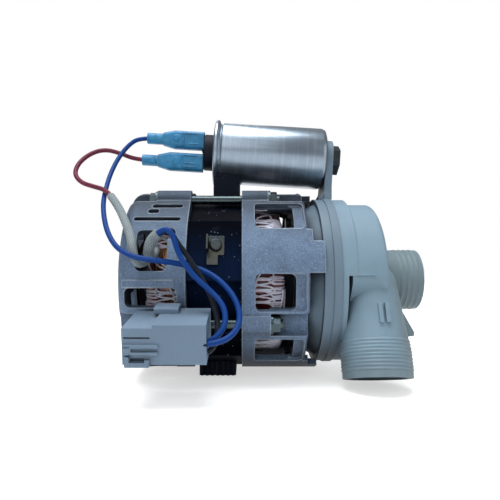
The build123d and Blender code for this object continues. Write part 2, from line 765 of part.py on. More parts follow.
# Volute: scroll, rim, inlet and outlet as one thin-walled moulding
def scroll_outline(inset):
    """The growing spiral from tongue to outlet, closed by a straight line behind the outlet."""
    growth = scroll_end_radius - scroll_start_radius
    points = []
    for k in range(8):
        a = scroll_tongue_angle / 7 * k
        points.append(section_point(scroll_end_radius - inset - growth * a / scroll_tongue_angle, a))
    spiral = make_face(Spline(*points) + Line(points[-1], points[0]))
    return fillet(spiral.vertices(), scroll_corner - inset)


def scroll_block(inset, x0, x1):
    return extrude(Pos(x0, 0, 0) * (cross_section * scroll_outline(inset)), amount=x1 - x0,
                   dir=(1, 0, 0))


def outlet_form(inset):
    """The outlet's straight end, its taper and the dome where it joins the scroll."""
    start = -1 if inset else 0
    straight = Pos(0, 0, (outlet_straight + start) / 2) \
        * Cylinder(outlet_radius - inset, outlet_straight - start)
    taper = Pos(0, 0, outlet_straight + outlet_taper / 2) \
        * Cone(outlet_radius - inset, outlet_throat_radius - inset, outlet_taper)
    dome = Pos(0, 0, outlet_straight + outlet_taper) * Sphere(outlet_throat_radius - inset)
    return outlet_frame() * (straight + taper + dome)


def outlet_frame():
    """Local axes of the outlet: z from its open face up its axis, -y to the front."""
    lean = radians(outlet_tilt)
    return Plane(origin=(x_front - outlet_setback, -outlet_reach, -outlet_drop), x_dir=(1, 0, 0),
                 z_dir=(0, sin(lean), cos(lean)))


def pump_volute():
    x_back = x_rim - scroll_wall
    scroll = scroll_block(0, x_back, x_front)
    scroll = fillet(scroll.edges().group_by(Axis.X)[-1], scroll_front_round)
    flange = round_bar(rim_radius, x_plate, x_plate + rim_flange)
    skirt = sector(x_plate, x_rim, rim_radius - scroll_wall, rim_radius, rim_gap[1], rim_gap[0] + 360)
    neck = round_bar(neck_radius, x_plate, x_rim)
    inlet = round_bar(inlet_radius, x_front - 1, 0) + \
        round_bar(inlet_root_radius, x_front - 1, x_front + inlet_root)
    rib = sector(x_rim - 1, x_front - 3 * scroll_front_round, scroll_end_radius - 1,
                 scroll_end_radius + parting_rib, rim_gap[1], rim_gap[1] + 1)
    body = scroll + [flange, skirt, neck, inlet, rib, outlet_form(0)] + outlet_ribs() + outlet_fin()
    hollow = scroll_block(scroll_wall, x_rim, x_front - scroll_wall)
    neck_bore = round_bar(neck_radius - scroll_wall, x_plate - 1, x_rim + 1)
    inlet_bore = round_bar(inlet_radius - port_wall, x_front - 2 * scroll_wall, 1)
    body -= [hollow, neck_bore, inlet_bore]
    return body - outlet_form(port_wall)


def outlet_ribs():
    """Two short ribs side by side on the front of the outlet, where its clip holds."""
    low, high = outlet_rib_span
    drift = (outlet_radius - outlet_throat_radius) / outlet_taper
    front = outlet_radius - drift * ((low + high) / 2 - outlet_straight)
    return [outlet_frame() * Pos(x, -front, (low + high) / 2) * Rot(X=-3)
            * Box(outlet_rib_width, 2.6, high - low) for x in outlet_rib_offsets]


def outlet_fin():
    """Thin gusset on the inlet's side of the outlet."""
    face = Plane(origin=(0, -fin_plane, 0), x_dir=(1, 0, 0), z_dir=(0, -1, 0)) \
        * make_face(Polyline(*fin_outline, close=True))
    return extrude(face, amount=fin_thickness / 2, both=True)


# Shaft seal
def seal_seat_cup():
    inner = seal_cup_radius - seal_cup_wall
    return ring(seal_cup_radius, inner, x_plate - seal_depth, x_plate) + \
        ring(seal_cup_radius, shaft_seal_hole, x_plate - seal_depth, x_plate - seal_depth + 1)


def seal_seat_ring():
    return ring(seal_cup_radius - seal_cup_wall - fit, bearing_bore + 0.6,
                x_plate - seal_depth + 1, x_plate + seal_ring_stand_out)


def seal_face_ring():
    x0 = x_plate + seal_ring_stand_out + face_gap
    return ring(face_ring_radius, bearing_bore + 0.3, x0, x0 + face_ring_width)


def seal_bellows():
    """Waved rubber sleeve between the carbon face and the impeller's back."""
    x0 = x_plate + seal_ring_stand_out + face_gap + face_ring_width
    x1 = x_impeller
    step = (x1 - x0) / 4
    return turned((x0, bearing_bore + fit), (x0, bellows_radius), (x0 + step, bellows_radius),
                  (x0 + 2 * step, bellows_waist), (x0 + 3 * step, bellows_radius),
                  (x1, bellows_radius), (x1, bearing_bore + fit))


def water_slinger():
    x0 = x_right_end + slinger_gap
    return ring(slinger_radius, bearing_bore + fit, x0, x0 + slinger_thickness) + \
        ring(slinger_hub_radius, bearing_bore + fit, x0 - 0.6, x0 + slinger_thickness)


# Closed impeller with backward-curved vanes
def vane():
    """One vane as a curved strip that trails as it leaves the hub."""
    steps = 5
    centre_line = []
    for k in range(steps):
        share = k / (steps - 1)
        radius = impeller_hub_radius + 2.5 + share * (impeller_radius - impeller_hub_radius - 2.9)
        centre_line.append((radius, vane_sweep * share ** 0.8))
    half = vane_thickness / 2
    outer = [section_point(r, a + half / r * 57.3) for r, a in centre_line]
    inner = [section_point(r, a - half / r * 57.3) for r, a in reversed(centre_line)]
    edge = Spline(*outer) + Line(outer[-1], inner[0]) + Spline(*inner) + Line(inner[-1], outer[0])
    return make_face(edge)


def impeller():
    x_back = x_impeller + shroud
    back = ring(impeller_radius, bearing_bore + fit, x_impeller, x_back)
    hub = ring(impeller_hub_radius, bearing_bore + fit, x_impeller, x_shroud)
    front = ring(impeller_radius, impeller_eye, x_shroud, x_shroud + shroud)
    neck = ring(impeller_eye + impeller_neck, impeller_eye, x_shroud, x_shroud + shroud + 1.4)
    blades = [Rot(X=360 / vane_count * k) * extrude(Pos(x_back - 0.2, 0, 0)
                                                    * (cross_section * vane()),
                                                    amount=x_shroud - x_back + 0.4, dir=(1, 0, 0))
              for k in range(vane_count)]
    return back + [hub, front, neck] + blades


def impeller_nut():
    hexagon = Plane(origin=(x_shroud, 0, 0), z_dir=(1, 0, 0)) * RegularPolygon(impeller_nut_radius, 6)
    nut = extrude(hexagon, amount=impeller_nut_height, dir=(1, 0, 0))
    return nut - round_bar(bearing_bore + fit, x_shroud - 1, x_shroud + shroud + 2.1)


# Run capacitor with its stud, base, blades and nut
def on_can(shape):
    return capacitor_frame() * shape


def capacitor_can():
    body = turned((0, 0), (0, can_radius - 2.4), (0.7, can_radius - 0.7), (2.4, can_radius),
                  (can_length - crimp_width - 2.0, can_radius),
                  (can_length - crimp_width - 1.0, can_radius - groove_depth),
                  (can_length - crimp_width, can_radius),
                  (can_length - crimp_width, crimp_radius - 0.6),
                  (can_length - crimp_width + 0.6, crimp_radius), (can_length - 0.6, crimp_radius),
                  (can_length, crimp_radius - 0.6), (can_length, crimp_radius - 2.2),
                  (can_length - 1.6, crimp_radius - 2.6), (can_length - 1.6, 0))
    stud = round_bar(stud_radius, -arm_thickness - cap_nut_height - 0.4, 0)
    return on_can(body + stud)


def capacitor_base():
    foot = round_bar(base_radius, can_length - 1.6, can_length + base_height)
    barrier = Pos(can_length + base_height + 0.6, 0, 0) * Box(1.4, 12.0, 1.4)
    return on_can(foot + barrier)


def capacitor_blades():
    x0 = can_length + base_height
    return group([on_can(Pos(x0 + blade_length / 2, 0, side * terminal_offset)
                         * Box(blade_length, blade_thickness, blade_width)) for side in (-1, 1)])


def capacitor_nut():
    hexagon = Plane(origin=(-arm_thickness, 0, 0), z_dir=(-1, 0, 0)) \
        * RegularPolygon(cap_nut_flats / 2, 6, major_radius=False)
    nut = extrude(hexagon, amount=cap_nut_height, dir=(-1, 0, 0))
    return on_can(nut - round_bar(stud_radius + fit, -arm_thickness - cap_nut_height - 1, 0))


# Insulated push-on terminals
def faston_sleeve(length, side):
    """Flat oval hood that tapers to a round neck, hollow for the terminal and the lead."""
    x0 = can_length + base_height + 0.7
    x1 = x0 + length
    x_neck = x1 - sleeve_neck_length
    x_mouth = x_neck - sleeve_taper_length
    middle = side * terminal_offset

    def rounded(width, depth, x):
        return Plane(origin=(x, 0, middle), x_dir=(0, 1, 0), z_dir=(1, 0, 0)) \
            * RectangleRounded(depth, width, depth * 0.35)

    hood = extrude(rounded(sleeve_width, sleeve_depth, x0), amount=x_mouth - x0, dir=(1, 0, 0))
    taper = loft([rounded(sleeve_width, sleeve_depth, x_mouth),
                  rounded(2 * sleeve_neck_radius + 0.6, 2 * sleeve_neck_radius, x_neck)])
    neck = Pos(0, 0, middle) * round_bar(sleeve_neck_radius, x_neck, x1)
    hollow = extrude(rounded(sleeve_width - 2 * sleeve_skin, sleeve_depth - 2 * sleeve_skin, x0 - 1),
                     amount=x_mouth - x0 + 1, dir=(1, 0, 0))
    barrel = Pos(0, 0, middle) * round_bar(2.0, x0, x1 - 3.6)
    lead_hole = Pos(0, 0, middle) * round_bar(lead_radius + 0.05, x0, x1 + 1)
    return on_can(hood + taper + neck - [hollow, barrel, lead_hole])


def faston_receptacles():
    """Rolled brass sockets over the blades, each with a crimped barrel that meets its lead."""
    sockets = []
    x0 = can_length + base_height + 1.0
    length_x, depth, width = socket_size
    for side, length in ((1, upper_sleeve_length), (-1, lower_sleeve_length)):
        shell = Pos(x0 + length_x / 2, 0, 0) * Box(length_x, depth, width)
        slot = Pos(x0 + (socket_reach - 1) / 2, 0, 0) \
            * Box(socket_reach + 1, blade_thickness + 0.06, blade_width + 0.1)
        rolled = Pos(x0 + length_x / 2 - 1, -depth / 2 - 0.1, 0) \
            * Box(length_x + 3, socket_curl, socket_gap)
        barrel = round_bar(barrel_radius, x0 + length_x - 0.5, x0 + length - barrel_inset)
        sockets.append(on_can(Pos(0, 0, side * terminal_offset) * (shell - slot - rolled + barrel)))
    return group(sockets)


# Connector: a stepped block with a latch tab and rails, leaning forward on its leads
def connector_frame():
    return Pos(*connector_centre) * Rot(X=connector_tilt)


def connector_body():
    block = Box(connector_width, connector_depth, connector_height)
    x_left = -connector_width / 2
    y_front = -connector_depth / 2
    z_top = connector_height / 2
    step = Pos(x_left + connector_step / 2 - 0.01, 0, z_top - connector_step_drop / 2) \
        * Box(connector_step, connector_depth + 1, connector_step_drop)
    latch = Pos(latch_place[0], -y_front - latch_place[1], z_top + latch_size[2] / 2) * Box(*latch_size)
    latch = fillet(latch.edges().filter_by(Axis.X).group_by(Axis.Z)[-1], latch_round)
    rails = [Pos(x_left + rail_size[0] / 2 + rail_inset, y_front, rise) * Box(*rail_size)
             for rise in rail_rises]
    slots = [Pos(x_left + front_slot_inset, y_front, rise) * Box(*size)
             for rise, *size in front_slots]
    mouth = Pos(x_left, 0, terminal_rise) \
        * Box(2 * mouth_depth, connector_depth - 2 * mouth_wall, mouth_height)
    ports = [Pos(connector_width / 2, y, z) * Rot(Y=90) * Cylinder(lead_radius + 0.25, 2.0)
             for y, z in port_places()]
    return connector_frame() * (block - step + latch + rails - slots - [mouth] - ports
                                - terminal_blades(fit))


def port_places():
    """Where the three leads enter, on the connector's own axes."""
    lean = radians(connector_tilt)
    places = []
    for lead in (capacitor_blue_route, motor_blue_route, motor_black_route):
        dy = lead[-1][1] - connector_centre[1]
        dz = lead[-1][2] - connector_centre[2]
        places.append((dy * cos(lean) + dz * sin(lean), dz * cos(lean) - dy * sin(lean)))
    return places


def terminal_blades(clearance):
    """Three blades that stand in the mouth, each rooted in the floor behind it."""
    length, height = terminal_size
    return [Pos(-connector_width / 2 + terminal_inset + length / 2, y, terminal_rise)
            * Box(length + 2 * clearance, blade_thickness + 2 * clearance, height + 2 * clearance)
            for y in (-terminal_pitch, 0, terminal_pitch)]


def connector_terminals():
    return group([connector_frame() * blade for blade in terminal_blades(0)])


# Routes of the leads and their sleeves
capacitor_blue_route = [
    (-130.5, 6.0, 72.06), (-138.5, 6.0, 72.5), (-144.0, 4.0, 67.5), (-147.8, 0.0, 60.0),
    (-149.6, -6.0, 51.5), (-149.7, -12.9, 43.2), (-148.1, -22.5, 35.1), (-144.6, -32.5, 27.2),
    (-140.4, -41.0, 20.0), (-135.1, -48.0, 14.2), (-128.4, -53.0, 10.6), (-120.6, -53.5, 9.2),
    (-113.3, -50.8, 8.4), (-105.9, -47.6, 6.9), (-99.3, -48.0, 4.6), (-93.6, -51.0, 1.0),
    (-88.9, -54.0, -4.0), (-86.2, -57.5, -9.8), (-86.4, -61.0, -15.0), (-89.6, -63.6, -18.8),
    (-94.2, -65.2, -20.6), (-98.0, -65.4, -21.0)]
capacitor_red_route = [
    (-132.68, 6.0, 60.97), (-140.7, 6.0, 61.5), (-148.5, 6.8, 65.0), (-156.2, 6.0, 66.6),
    (-162.6, 3.0, 63.6), (-167.0, -1.5, 57.6), (-166.8, -6.8, 51.2), (-161.8, -11.6, 46.3),
    (-155.0, -15.6, 43.9), (-147.6, -18.8, 41.6), (-144.4, -22.8, 38.2)]
sleeve_long_route = [
    (-144.4, -22.8, 38.2), (-139.3, -29.2, 32.8), (-134.2, -37.4, 25.4), (-130.4, -44.0, 19.2),
    (-128.9, -47.6, 14.8), (-128.0, -49.0, 11.0), (-127.2, -47.4, 8.2), (-126.4, -43.6, 7.8),
    (-125.6, -38.8, 8.6), (-124.9, -34.4, 9.8)]
sleeve_short_route = [
    (-122.4, -32.5, 13.3), (-122.4, -37.5, 12.3), (-122.5, -42.5, 11.3), (-122.4, -46.8, 11.4),
    (-121.8, -49.6, 14.0), (-120.4, -50.6, 17.4), (-117.8, -51.1, 19.4)]
motor_blue_route = [
    (-117.94, -52.29, 19.29), (-115.28, -52.8, 21.34), (-112.6, -53.1, 20.0), (-111.2, -53.3, 16.6),
    (-110.0, -53.4, 12.4), (-107.6, -53.5, 8.0), (-104.6, -53.5, 3.9), (-101.0, -53.7, 0.4),
    (-97.2, -54.2, -2.9), (-93.7, -55.6, -6.2), (-91.6, -58.0, -10.2), (-91.5, -60.4, -14.6),
    (-93.6, -62.0, -18.0), (-96.2, -62.5, -20.0), (-98.0, -62.6, -20.6)]
motor_black_route = [
    (-117.66, -49.91, 19.51), (-115.2, -50.4, 21.4), (-112.7, -50.6, 19.6), (-110.4, -50.7, 15.6),
    (-107.0, -50.8, 11.4), (-104.0, -50.8, 6.8), (-100.8, -51.0, 1.8), (-98.0, -51.6, -3.4),
    (-96.0, -53.2, -8.6), (-94.7, -55.4, -13.4), (-94.3, -57.8, -17.8), (-95.2, -60.0, -21.6),
    (-96.5, -61.1, -23.8), (-98.0, -61.5, -24.6)]


def cord(name, route, radius):
    """A round cord along straight runs joined by arcs as large as each pair of runs allows."""
    points = [Vector(*p) for p in route]
    arcs = []
    for before, here, after in zip(points, points[1:], points[2:]):
        run_in = here - before
        run_out = after - here
        shorter = min(run_in.length, run_out.length)
        arcs.append(0.45 * shorter / tan(radians(run_in.get_angle(run_out) / 2)))
    path = FilletPolyline(*points, radius=arcs)
    section = Plane(origin=points[0], z_dir=points[1] - points[0]) * Circle(radius)
    solid = sweep(section, path=path)
    share = solid.volume / (3.14159 * radius ** 2 * path.length)
    print(name, "arc radii", [round(r, 1) for r in arcs], "length", round(path.length, 1),
          "volume share", round(share, 3))
    return solid


left_outer, left_inner, left_balls, left_cage, left_shields = bearing(x_left_bearing)
right_outer, right_inner, right_balls, right_cage, right_shields = bearing(x_right_bearing)

pieces = {
    "left_end_bracket": left_end_bracket(),
    "right_end_bracket": right_end_bracket(),
    "stator_stack": stator_stack(),
    "stator_winding": stator_winding(),
    "winding_lacing": winding_lacing(),
    "thermal_cutout": thermal_cutout(),
    "through_bolts": through_bolts(),
    "bolt_nuts": bolt_nuts(),
    "earth_tab": earth_tab(),
    "earth_screw": earth_screw(),
    "rubber_foot": rubber_foot(),
    "capacitor_pad": capacitor_pad(),
    "left_bearing_outer_ring": left_outer,
    "right_bearing_outer_ring": right_outer,
    "bearing_shields": group(left_shields + right_shields),
    "bearing_spring_washer": spring_washer(),
    "capacitor_can": capacitor_can(),
    "capacitor_base": capacitor_base(),
    "capacitor_blades": capacitor_blades(),
    "capacitor_nut": capacitor_nut(),
    "upper_faston_sleeve": faston_sleeve(upper_sleeve_length, 1),
    "lower_faston_sleeve": faston_sleeve(lower_sleeve_length, -1),
    "faston_receptacles": faston_receptacles(),
    "pump_rear_housing": pump_rear_housing(),
    "rear_housing_screws": rear_housing_screws(),
    "housing_o_ring": housing_o_ring(),
    "pump_volute": pump_volute(),
    "seal_seat_cup": seal_seat_cup(),
    "seal_seat_ring": seal_seat_ring(),
    "connector_body": connector_body(),
    "connector_terminals": connector_terminals(),
    "lead_capacitor_blue": cord("lead_capacitor_blue", capacitor_blue_route, lead_radius),
    "lead_capacitor_red": cord("lead_capacitor_red", capacitor_red_route, lead_radius),
    "lead_motor_blue": cord("lead_motor_blue", motor_blue_route, lead_radius),
    "lead_motor_black": cord("lead_motor_black", motor_black_route, lead_radius),
    "sleeve_long": cord("sleeve_long", sleeve_long_route, sleeve_long_radius),
    "sleeve_short": cord("sleeve_short", sleeve_short_route, sleeve_short_radius),
    "motor_shaft": motor_shaft(),
    "rotor_core": rotor_core(),
    "rotor_cage": rotor_cage(),
    "left_bearing_inner_ring": left_inner,
    "right_bearing_inner_ring": right_inner,
    "left_bearing_balls": left_balls,
    "left_bearing_cage": left_cage,
    "right_bearing_balls": right_balls,
    "right_bearing_cage": right_cage,
    "water_slinger": water_slinger(),
    "seal_face_ring": seal_face_ring(),
    "seal_bellows": seal_bellows(),
    "impeller": impeller(),
    "impeller_nut": impeller_nut(),
}

for name, shape in pieces.items():
    export_step(shape, f"parts/{name}.step")
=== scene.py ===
import json
from math import cos, radians, sin

import bmesh
import bpy
import numpy as np
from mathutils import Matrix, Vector

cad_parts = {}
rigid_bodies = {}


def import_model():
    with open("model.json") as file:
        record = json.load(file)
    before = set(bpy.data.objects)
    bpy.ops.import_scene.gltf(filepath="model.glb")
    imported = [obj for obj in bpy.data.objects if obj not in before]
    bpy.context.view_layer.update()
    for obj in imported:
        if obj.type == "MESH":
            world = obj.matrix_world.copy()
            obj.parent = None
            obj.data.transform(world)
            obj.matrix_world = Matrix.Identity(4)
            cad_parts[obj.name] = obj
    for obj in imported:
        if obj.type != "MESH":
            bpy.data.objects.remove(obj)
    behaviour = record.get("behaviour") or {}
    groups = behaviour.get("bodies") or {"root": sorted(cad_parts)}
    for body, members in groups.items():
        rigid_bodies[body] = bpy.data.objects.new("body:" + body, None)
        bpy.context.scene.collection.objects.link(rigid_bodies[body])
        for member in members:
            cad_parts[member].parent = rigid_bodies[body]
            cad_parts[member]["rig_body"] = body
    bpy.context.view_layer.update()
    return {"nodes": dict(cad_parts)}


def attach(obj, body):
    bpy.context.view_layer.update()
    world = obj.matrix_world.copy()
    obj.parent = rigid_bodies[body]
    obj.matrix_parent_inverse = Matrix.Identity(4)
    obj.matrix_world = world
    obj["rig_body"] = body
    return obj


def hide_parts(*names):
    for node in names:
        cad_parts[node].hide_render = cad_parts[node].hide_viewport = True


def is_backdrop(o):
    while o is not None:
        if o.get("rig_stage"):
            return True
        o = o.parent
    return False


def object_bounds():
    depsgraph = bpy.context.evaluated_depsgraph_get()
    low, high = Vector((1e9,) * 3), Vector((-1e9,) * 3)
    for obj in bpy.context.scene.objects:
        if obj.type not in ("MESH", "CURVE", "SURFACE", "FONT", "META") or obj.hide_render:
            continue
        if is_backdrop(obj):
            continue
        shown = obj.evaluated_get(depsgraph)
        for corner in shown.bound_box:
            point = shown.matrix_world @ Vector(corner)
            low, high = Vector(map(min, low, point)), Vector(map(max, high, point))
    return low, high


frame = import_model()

nodes = frame["nodes"]
scene = bpy.context.scene
mm = 0.001
sharpAngle = 32  # degrees: shading breaks at edges sharper than this

# camera
cameraSetup = {"place": (-0.085, -0.228, 0.00725), "lens": 32.83, "sensor": 36.0,
               "shift": (0.014, 0.030)}


def makeCamera(setup):
    # level camera in front of the pump, looking along +Y from a little above the shaft
    data = bpy.data.cameras.new("photoCamera")
    data.lens = setup["lens"]
    data.sensor_width = setup["sensor"]
    data.shift_x, data.shift_y = setup["shift"]
    camera = bpy.data.objects.new("photoCamera", data)
    camera.location = setup["place"]
    camera.rotation_euler = (radians(90), 0, 0)
    scene.collection.objects.link(camera)
    scene.camera = camera


makeCamera(cameraSetup)
print("camera set")


# shader helpers
class Value:
    # one output socket; + - * / on it add Math nodes, with a plain number on either side
    def __init__(self, tree, socket):
        self.tree = tree
        self.socket = socket

    def math(self, operation, *values):
        node = self.tree.nodes.new("ShaderNodeMath")
        node.operation = operation
        for slot, value in zip(node.inputs, values):
            if isinstance(value, Value):
                self.tree.links.new(value.socket, slot)
            else:
                slot.default_value = float(value)
        return Value(self.tree, node.outputs[0])

    def __add__(self, other):
        return self.math("ADD", self, other)

    def __radd__(self, other):
        return self.math("ADD", other, self)

    def __sub__(self, other):
        return self.math("SUBTRACT", self, other)

    def __rsub__(self, other):
        return self.math("SUBTRACT", other, self)

    def __mul__(self, other):
        return self.math("MULTIPLY", self, other)

    def __rmul__(self, other):
        return self.math("MULTIPLY", other, self)

    def __truediv__(self, other):
        return self.math("DIVIDE", self, other)

    def __rtruediv__(self, other):
        return self.math("DIVIDE", other, self)

    def __abs__(self):
        return self.math("ABSOLUTE", self)

    def larger(self, other):
        return self.math("MAXIMUM", self, other)

    def smaller(self, other):
        return self.math("MINIMUM", self, other)

    def ramp(self, low, high):
        # 0 below low, 1 above high, straight between
        return ((self - low) / (high - low)).larger(0).smaller(1)


class NodeTree:
    # the nodes of a material or the world: add() makes every node that isn't a Math node
    def __init__(self, tree):
        self.tree = tree
        tree.nodes.clear()

    def plug(self, slot, value):
        if isinstance(value, Value):
            self.tree.links.new(value.socket, slot)
        elif isinstance(value, (tuple, list)) and len(value) == 3 and slot.type == "RGBA":
            slot.default_value = (*value, 1.0)
        else:
            slot.default_value = value

    def add(self, kind, settings=None, sockets=None, out=0):
        node = self.tree.nodes.new("ShaderNode" + kind)
        for key, value in (settings or {}).items():
            setattr(node, key, value)
        for key, value in (sockets or {}).items():
            self.plug(node.inputs[key], value)
        return Value(self.tree, node.outputs[out]) if node.outputs else None

    def seenBy(self, *kinds):
        # 1 for rays of the named kinds, 0 for the others
        rays = [self.add("LightPath", out=f"Is {kind} Ray") for kind in kinds]
        seen = rays[0]
        for ray in rays[1:]:
            seen = seen.larger(ray)
        return seen


class Look(NodeTree):
    # one material with a Principled shader; place is the piece's own Object coordinates
    def __init__(self, name, **plain):
        self.mat = bpy.data.materials.new(name)
        self.mat.use_nodes = True
        super().__init__(self.mat.node_tree)
        surface = self.add("BsdfPrincipled")
        self.shader = surface.socket.node
        self.add("OutputMaterial", sockets={0: surface})
        self.place = self.add("TexCoord", out="Object")
        self.set(**plain)

    def set(self, **values):
        for key, value in values.items():
            self.plug(self.shader.inputs[key.replace("_", " ")], value)

    def scaled(self, x, y, z, source=None):
        return self.add("Mapping", sockets={"Vector": source or self.place, "Scale": (x, y, z)})

    def noise(self, scale, detail=3.0, rough=0.55, source=None):
        return self.add("TexNoise", sockets={"Vector": source or self.place, "Scale": scale,
                                             "Detail": detail, "Roughness": rough})

    def dots(self, scale, size, blur):
        # round dots, 1 inside and 0 outside, one in each cell of a Voronoi pattern
        cells = self.add("TexVoronoi", sockets={"Vector": self.place, "Scale": scale})
        return 1 - cells.ramp(size, blur)

    def mix(self, share, first, second):
        return self.add("Mix", {"data_type": "RGBA"}, {0: share, 6: first, 7: second}, out=2)

    def axes(self, source=None):
        split = self.add("SeparateXYZ", sockets={0: source or self.place}).socket.node
        return [Value(self.tree, socket) for socket in split.outputs]

    def bump(self, height, depth, strength=1.0, under=None):
        sockets = {"Height": height, "Distance": depth, "Strength": strength}
        if under:
            sockets["Normal"] = under
        return self.add("Bump", sockets=sockets)

    def roundedEdges(self, radius):
        return self.add("Bevel", {"samples": 4}, {"Radius": radius})

    def edgeMask(self, rounded, low, high):
        # 1 where the rounded normal leaves the true one, so on outer and inner edges
        true = self.add("NewGeometry", out="Normal")
        likeness = self.add("VectorMath", {"operation": "DOT_PRODUCT"}, {0: rounded, 1: true},
                            out="Value")
        return (1 - likeness).ramp(low, high)

    def hollows(self, distance):
        # 0 in the open, towards 1 where other surfaces within the distance shut the light out
        return 1 - self.add("AmbientOcclusion", {"samples": 6}, {"Distance": distance}, out="AO")


def times(tone, share):
    # a darker or lighter tone, no channel over 1
    return tuple(min(c * share, 1) for c in tone)


def castMetal(name, tone, top):
    # grey die casting: fine sparkle grain, cloudy oxide, edges bright with wear and a painted highlight,
    # dirt and painted shade in its hollows, painted shade towards the top between the two heights of top
    look = Look(name, Metallic=0.45, Specular_IOR_Level=0.45)
    x, y, z = look.axes()
    cloud = look.noise(60, 5, 0.65)
    mottle = look.noise(420, 4, 0.7)
    grain = look.noise(1700, 4, 0.75)
    speck = look.noise(3400, 2, 0.6)
    rounded = look.roundedEdges(0.0008)
    edge = look.edgeMask(rounded, 0.01, 0.10)
    colour = look.mix(cloud.ramp(0.36, 0.64) * 0.7, tone, times(tone, 0.50))
    colour = look.mix(mottle.ramp(0.50, 0.62) * 0.5, colour, times(tone, 0.55))
    colour = look.mix(grain.ramp(0.50, 0.66) * 0.8, colour, times(tone, 1.7))
    colour = look.mix(speck.ramp(0.54, 0.66) * 0.7, colour, times(tone, 0.3))
    # painted shade towards the top, where the capacitor and arm would shade it
    colour = look.mix(z.ramp(*top) * (0.66 + cloud * 0.3), colour, times(tone, 0.14))
    # dirt and painted shade in small hollows
    colour = look.mix(look.hollows(0.006).ramp(0.45, 1.0) * 0.6, colour, times(tone, 0.3))
    # painted shade deep inside, as behind the windows
    colour = look.mix(look.hollows(0.045).ramp(0.58, 0.84) * 0.95, colour, times(tone, 0.04))
    # bright edges: partly wear, partly a painted highlight
    colour = look.mix(edge * cloud.ramp(0.30, 0.55) * 0.75, colour, (0.52, 0.60, 0.68))
    look.set(Base_Color=colour, Roughness=0.42 + grain * 0.26,
             Normal=look.bump(grain + speck * 0.4, 0.00022, 0.85, rounded))
    return look.mat


def mouldedPlastic(name, tone, shade, stain, grimeAndShade=0.35, rough=0.42, gloss=0.4, deep=0.4, endTint=None):
    # natural plastic: cloudy tint, faint flow marks, dust specks, scuffs, and dirt and painted shade
    # in the hollows; the end tint gives a darker, greener tone to the inlet's end, rising between two
    # stations along X, and to the outlet's end, rising downwards between two heights
    look = Look(name, Subsurface_Weight=0.12, Subsurface_Scale=0.004,
                Subsurface_Radius=(0.9, 1.0, 1.1), Specular_IOR_Level=gloss)
    cloud = look.noise(38, 4, 0.55)
    flow = look.noise(1.0, 3, 0.6, look.scaled(260, 60, 60))
    fine = look.noise(900, 3, 0.6)
    rounded = look.roundedEdges(0.0005)
    edge = look.edgeMask(rounded, 0.02, 0.15)
    colour = look.mix(cloud.ramp(0.36, 0.66), tone, shade)
    colour = look.mix(flow.ramp(0.52, 0.7) * 0.25, colour, times(tone, 0.86))
    if endTint:
        x, y, z = look.axes()
        ends = x.ramp(*endTint["inlet"]).larger(1 - z.ramp(*endTint["outlet"]))
        colour = look.mix(ends * (0.35 + flow * 0.8), colour, endTint["tone"])
    dusty = look.noise(60, 2).ramp(0.56, 0.62)
    colour = look.mix(look.dots(330, 0.03, 0.10) * dusty * 0.75, colour, stain)
    # dirt and painted shade in small crevices
    colour = look.mix(look.hollows(0.007).ramp(0.35, 1.0) * grimeAndShade, colour, times(tone, 0.35))
    # painted shade in deep recesses, by the share deep
    colour = look.mix(look.hollows(0.030).ramp(0.38, 0.86) * deep, colour, times(tone, 0.08))
    colour = look.mix(edge * 0.3, colour, times(tone, 1.5))
    look.set(Base_Color=colour, Roughness=rough + fine * 0.16 + flow * 0.08,
             Normal=look.bump(fine + flow * 0.8, 0.00006, 0.5, rounded))
    return look.mat


def blackRubber(name, tone, ribbed=False):
    # dull moulded rubber with pale dust in its pores and, on the foot, upright scores
    look = Look(name, Specular_IOR_Level=0.10)
    dust = look.noise(160, 5, 0.7)
    height = look.noise(1400, 3, 0.6)
    colour = look.mix(dust.ramp(0.55, 0.78) * 0.45, tone, (0.045, 0.055, 0.075))
    if ribbed:
        rib = look.noise(1.0, 2, 0.5, look.scaled(900, 900, 30))
        height = height + rib * 1.4
        colour = look.mix(rib.ramp(0.55, 0.7) * 0.4, colour, (0.05, 0.06, 0.085))
    look.set(Base_Color=colour, Roughness=0.58 + dust * 0.25,
             Normal=look.bump(height, 0.00012, 0.6, look.roundedEdges(0.0005)))
    return look.mat


def stackPaint(name, tone, shade, front):
    # stoving paint over stacked laminations: fine lines across the shaft, dust and rubs; a painted shade
    # at the back and top turns into its tone in front, between the two distances of front
    look = Look(name, Specular_IOR_Level=0.02)
    x, y, z = look.axes()
    # painted shade: the back and top darken to the shade tone, the front keeps the full tone
    frontUnshaded = (y * -1).ramp(*front)
    sheet = look.noise(1.0, 2, 0.5, look.scaled(2000, 6, 6))
    dust = look.noise(120, 5, 0.7)
    rounded = look.roundedEdges(0.0004)
    edge = look.edgeMask(rounded, 0.03, 0.2)
    colour = look.mix(frontUnshaded, shade, tone)
    colour = look.mix(sheet.ramp(0.5, 0.7) * frontUnshaded * 0.25, colour, (0.010, 0.020, 0.044))
    colour = look.mix(dust.ramp(0.62, 0.82) * 0.25, colour, (0.03, 0.038, 0.05))
    colour = look.mix(look.dots(520, 0.05, 0.12) * dust.ramp(0.50, 0.56), colour, (0.30, 0.34, 0.38))
    colour = look.mix(edge * 0.35, colour, (0.16, 0.19, 0.22))
    look.set(Base_Color=colour, Roughness=0.40 + dust * 0.3,
             Normal=look.bump(sheet, 0.00004, 0.5, rounded))
    return look.mat


# the capacitor's own axes, in millimetres and degrees, and the bare label field on its can: how far
# along the can it starts, ends and has its rule line, its lowest height and its back edge, in metres
canAxes = {"origin": (-44.0, 6.0, 61.2), "tilt": 3.47}
canLabel = {"start": 0.0060, "end": 0.0420, "rule": 0.0148, "low": -0.0008, "back": -0.0004,
            "blur": 0.0002, "tone": (0.36, 0.42, 0.50)}


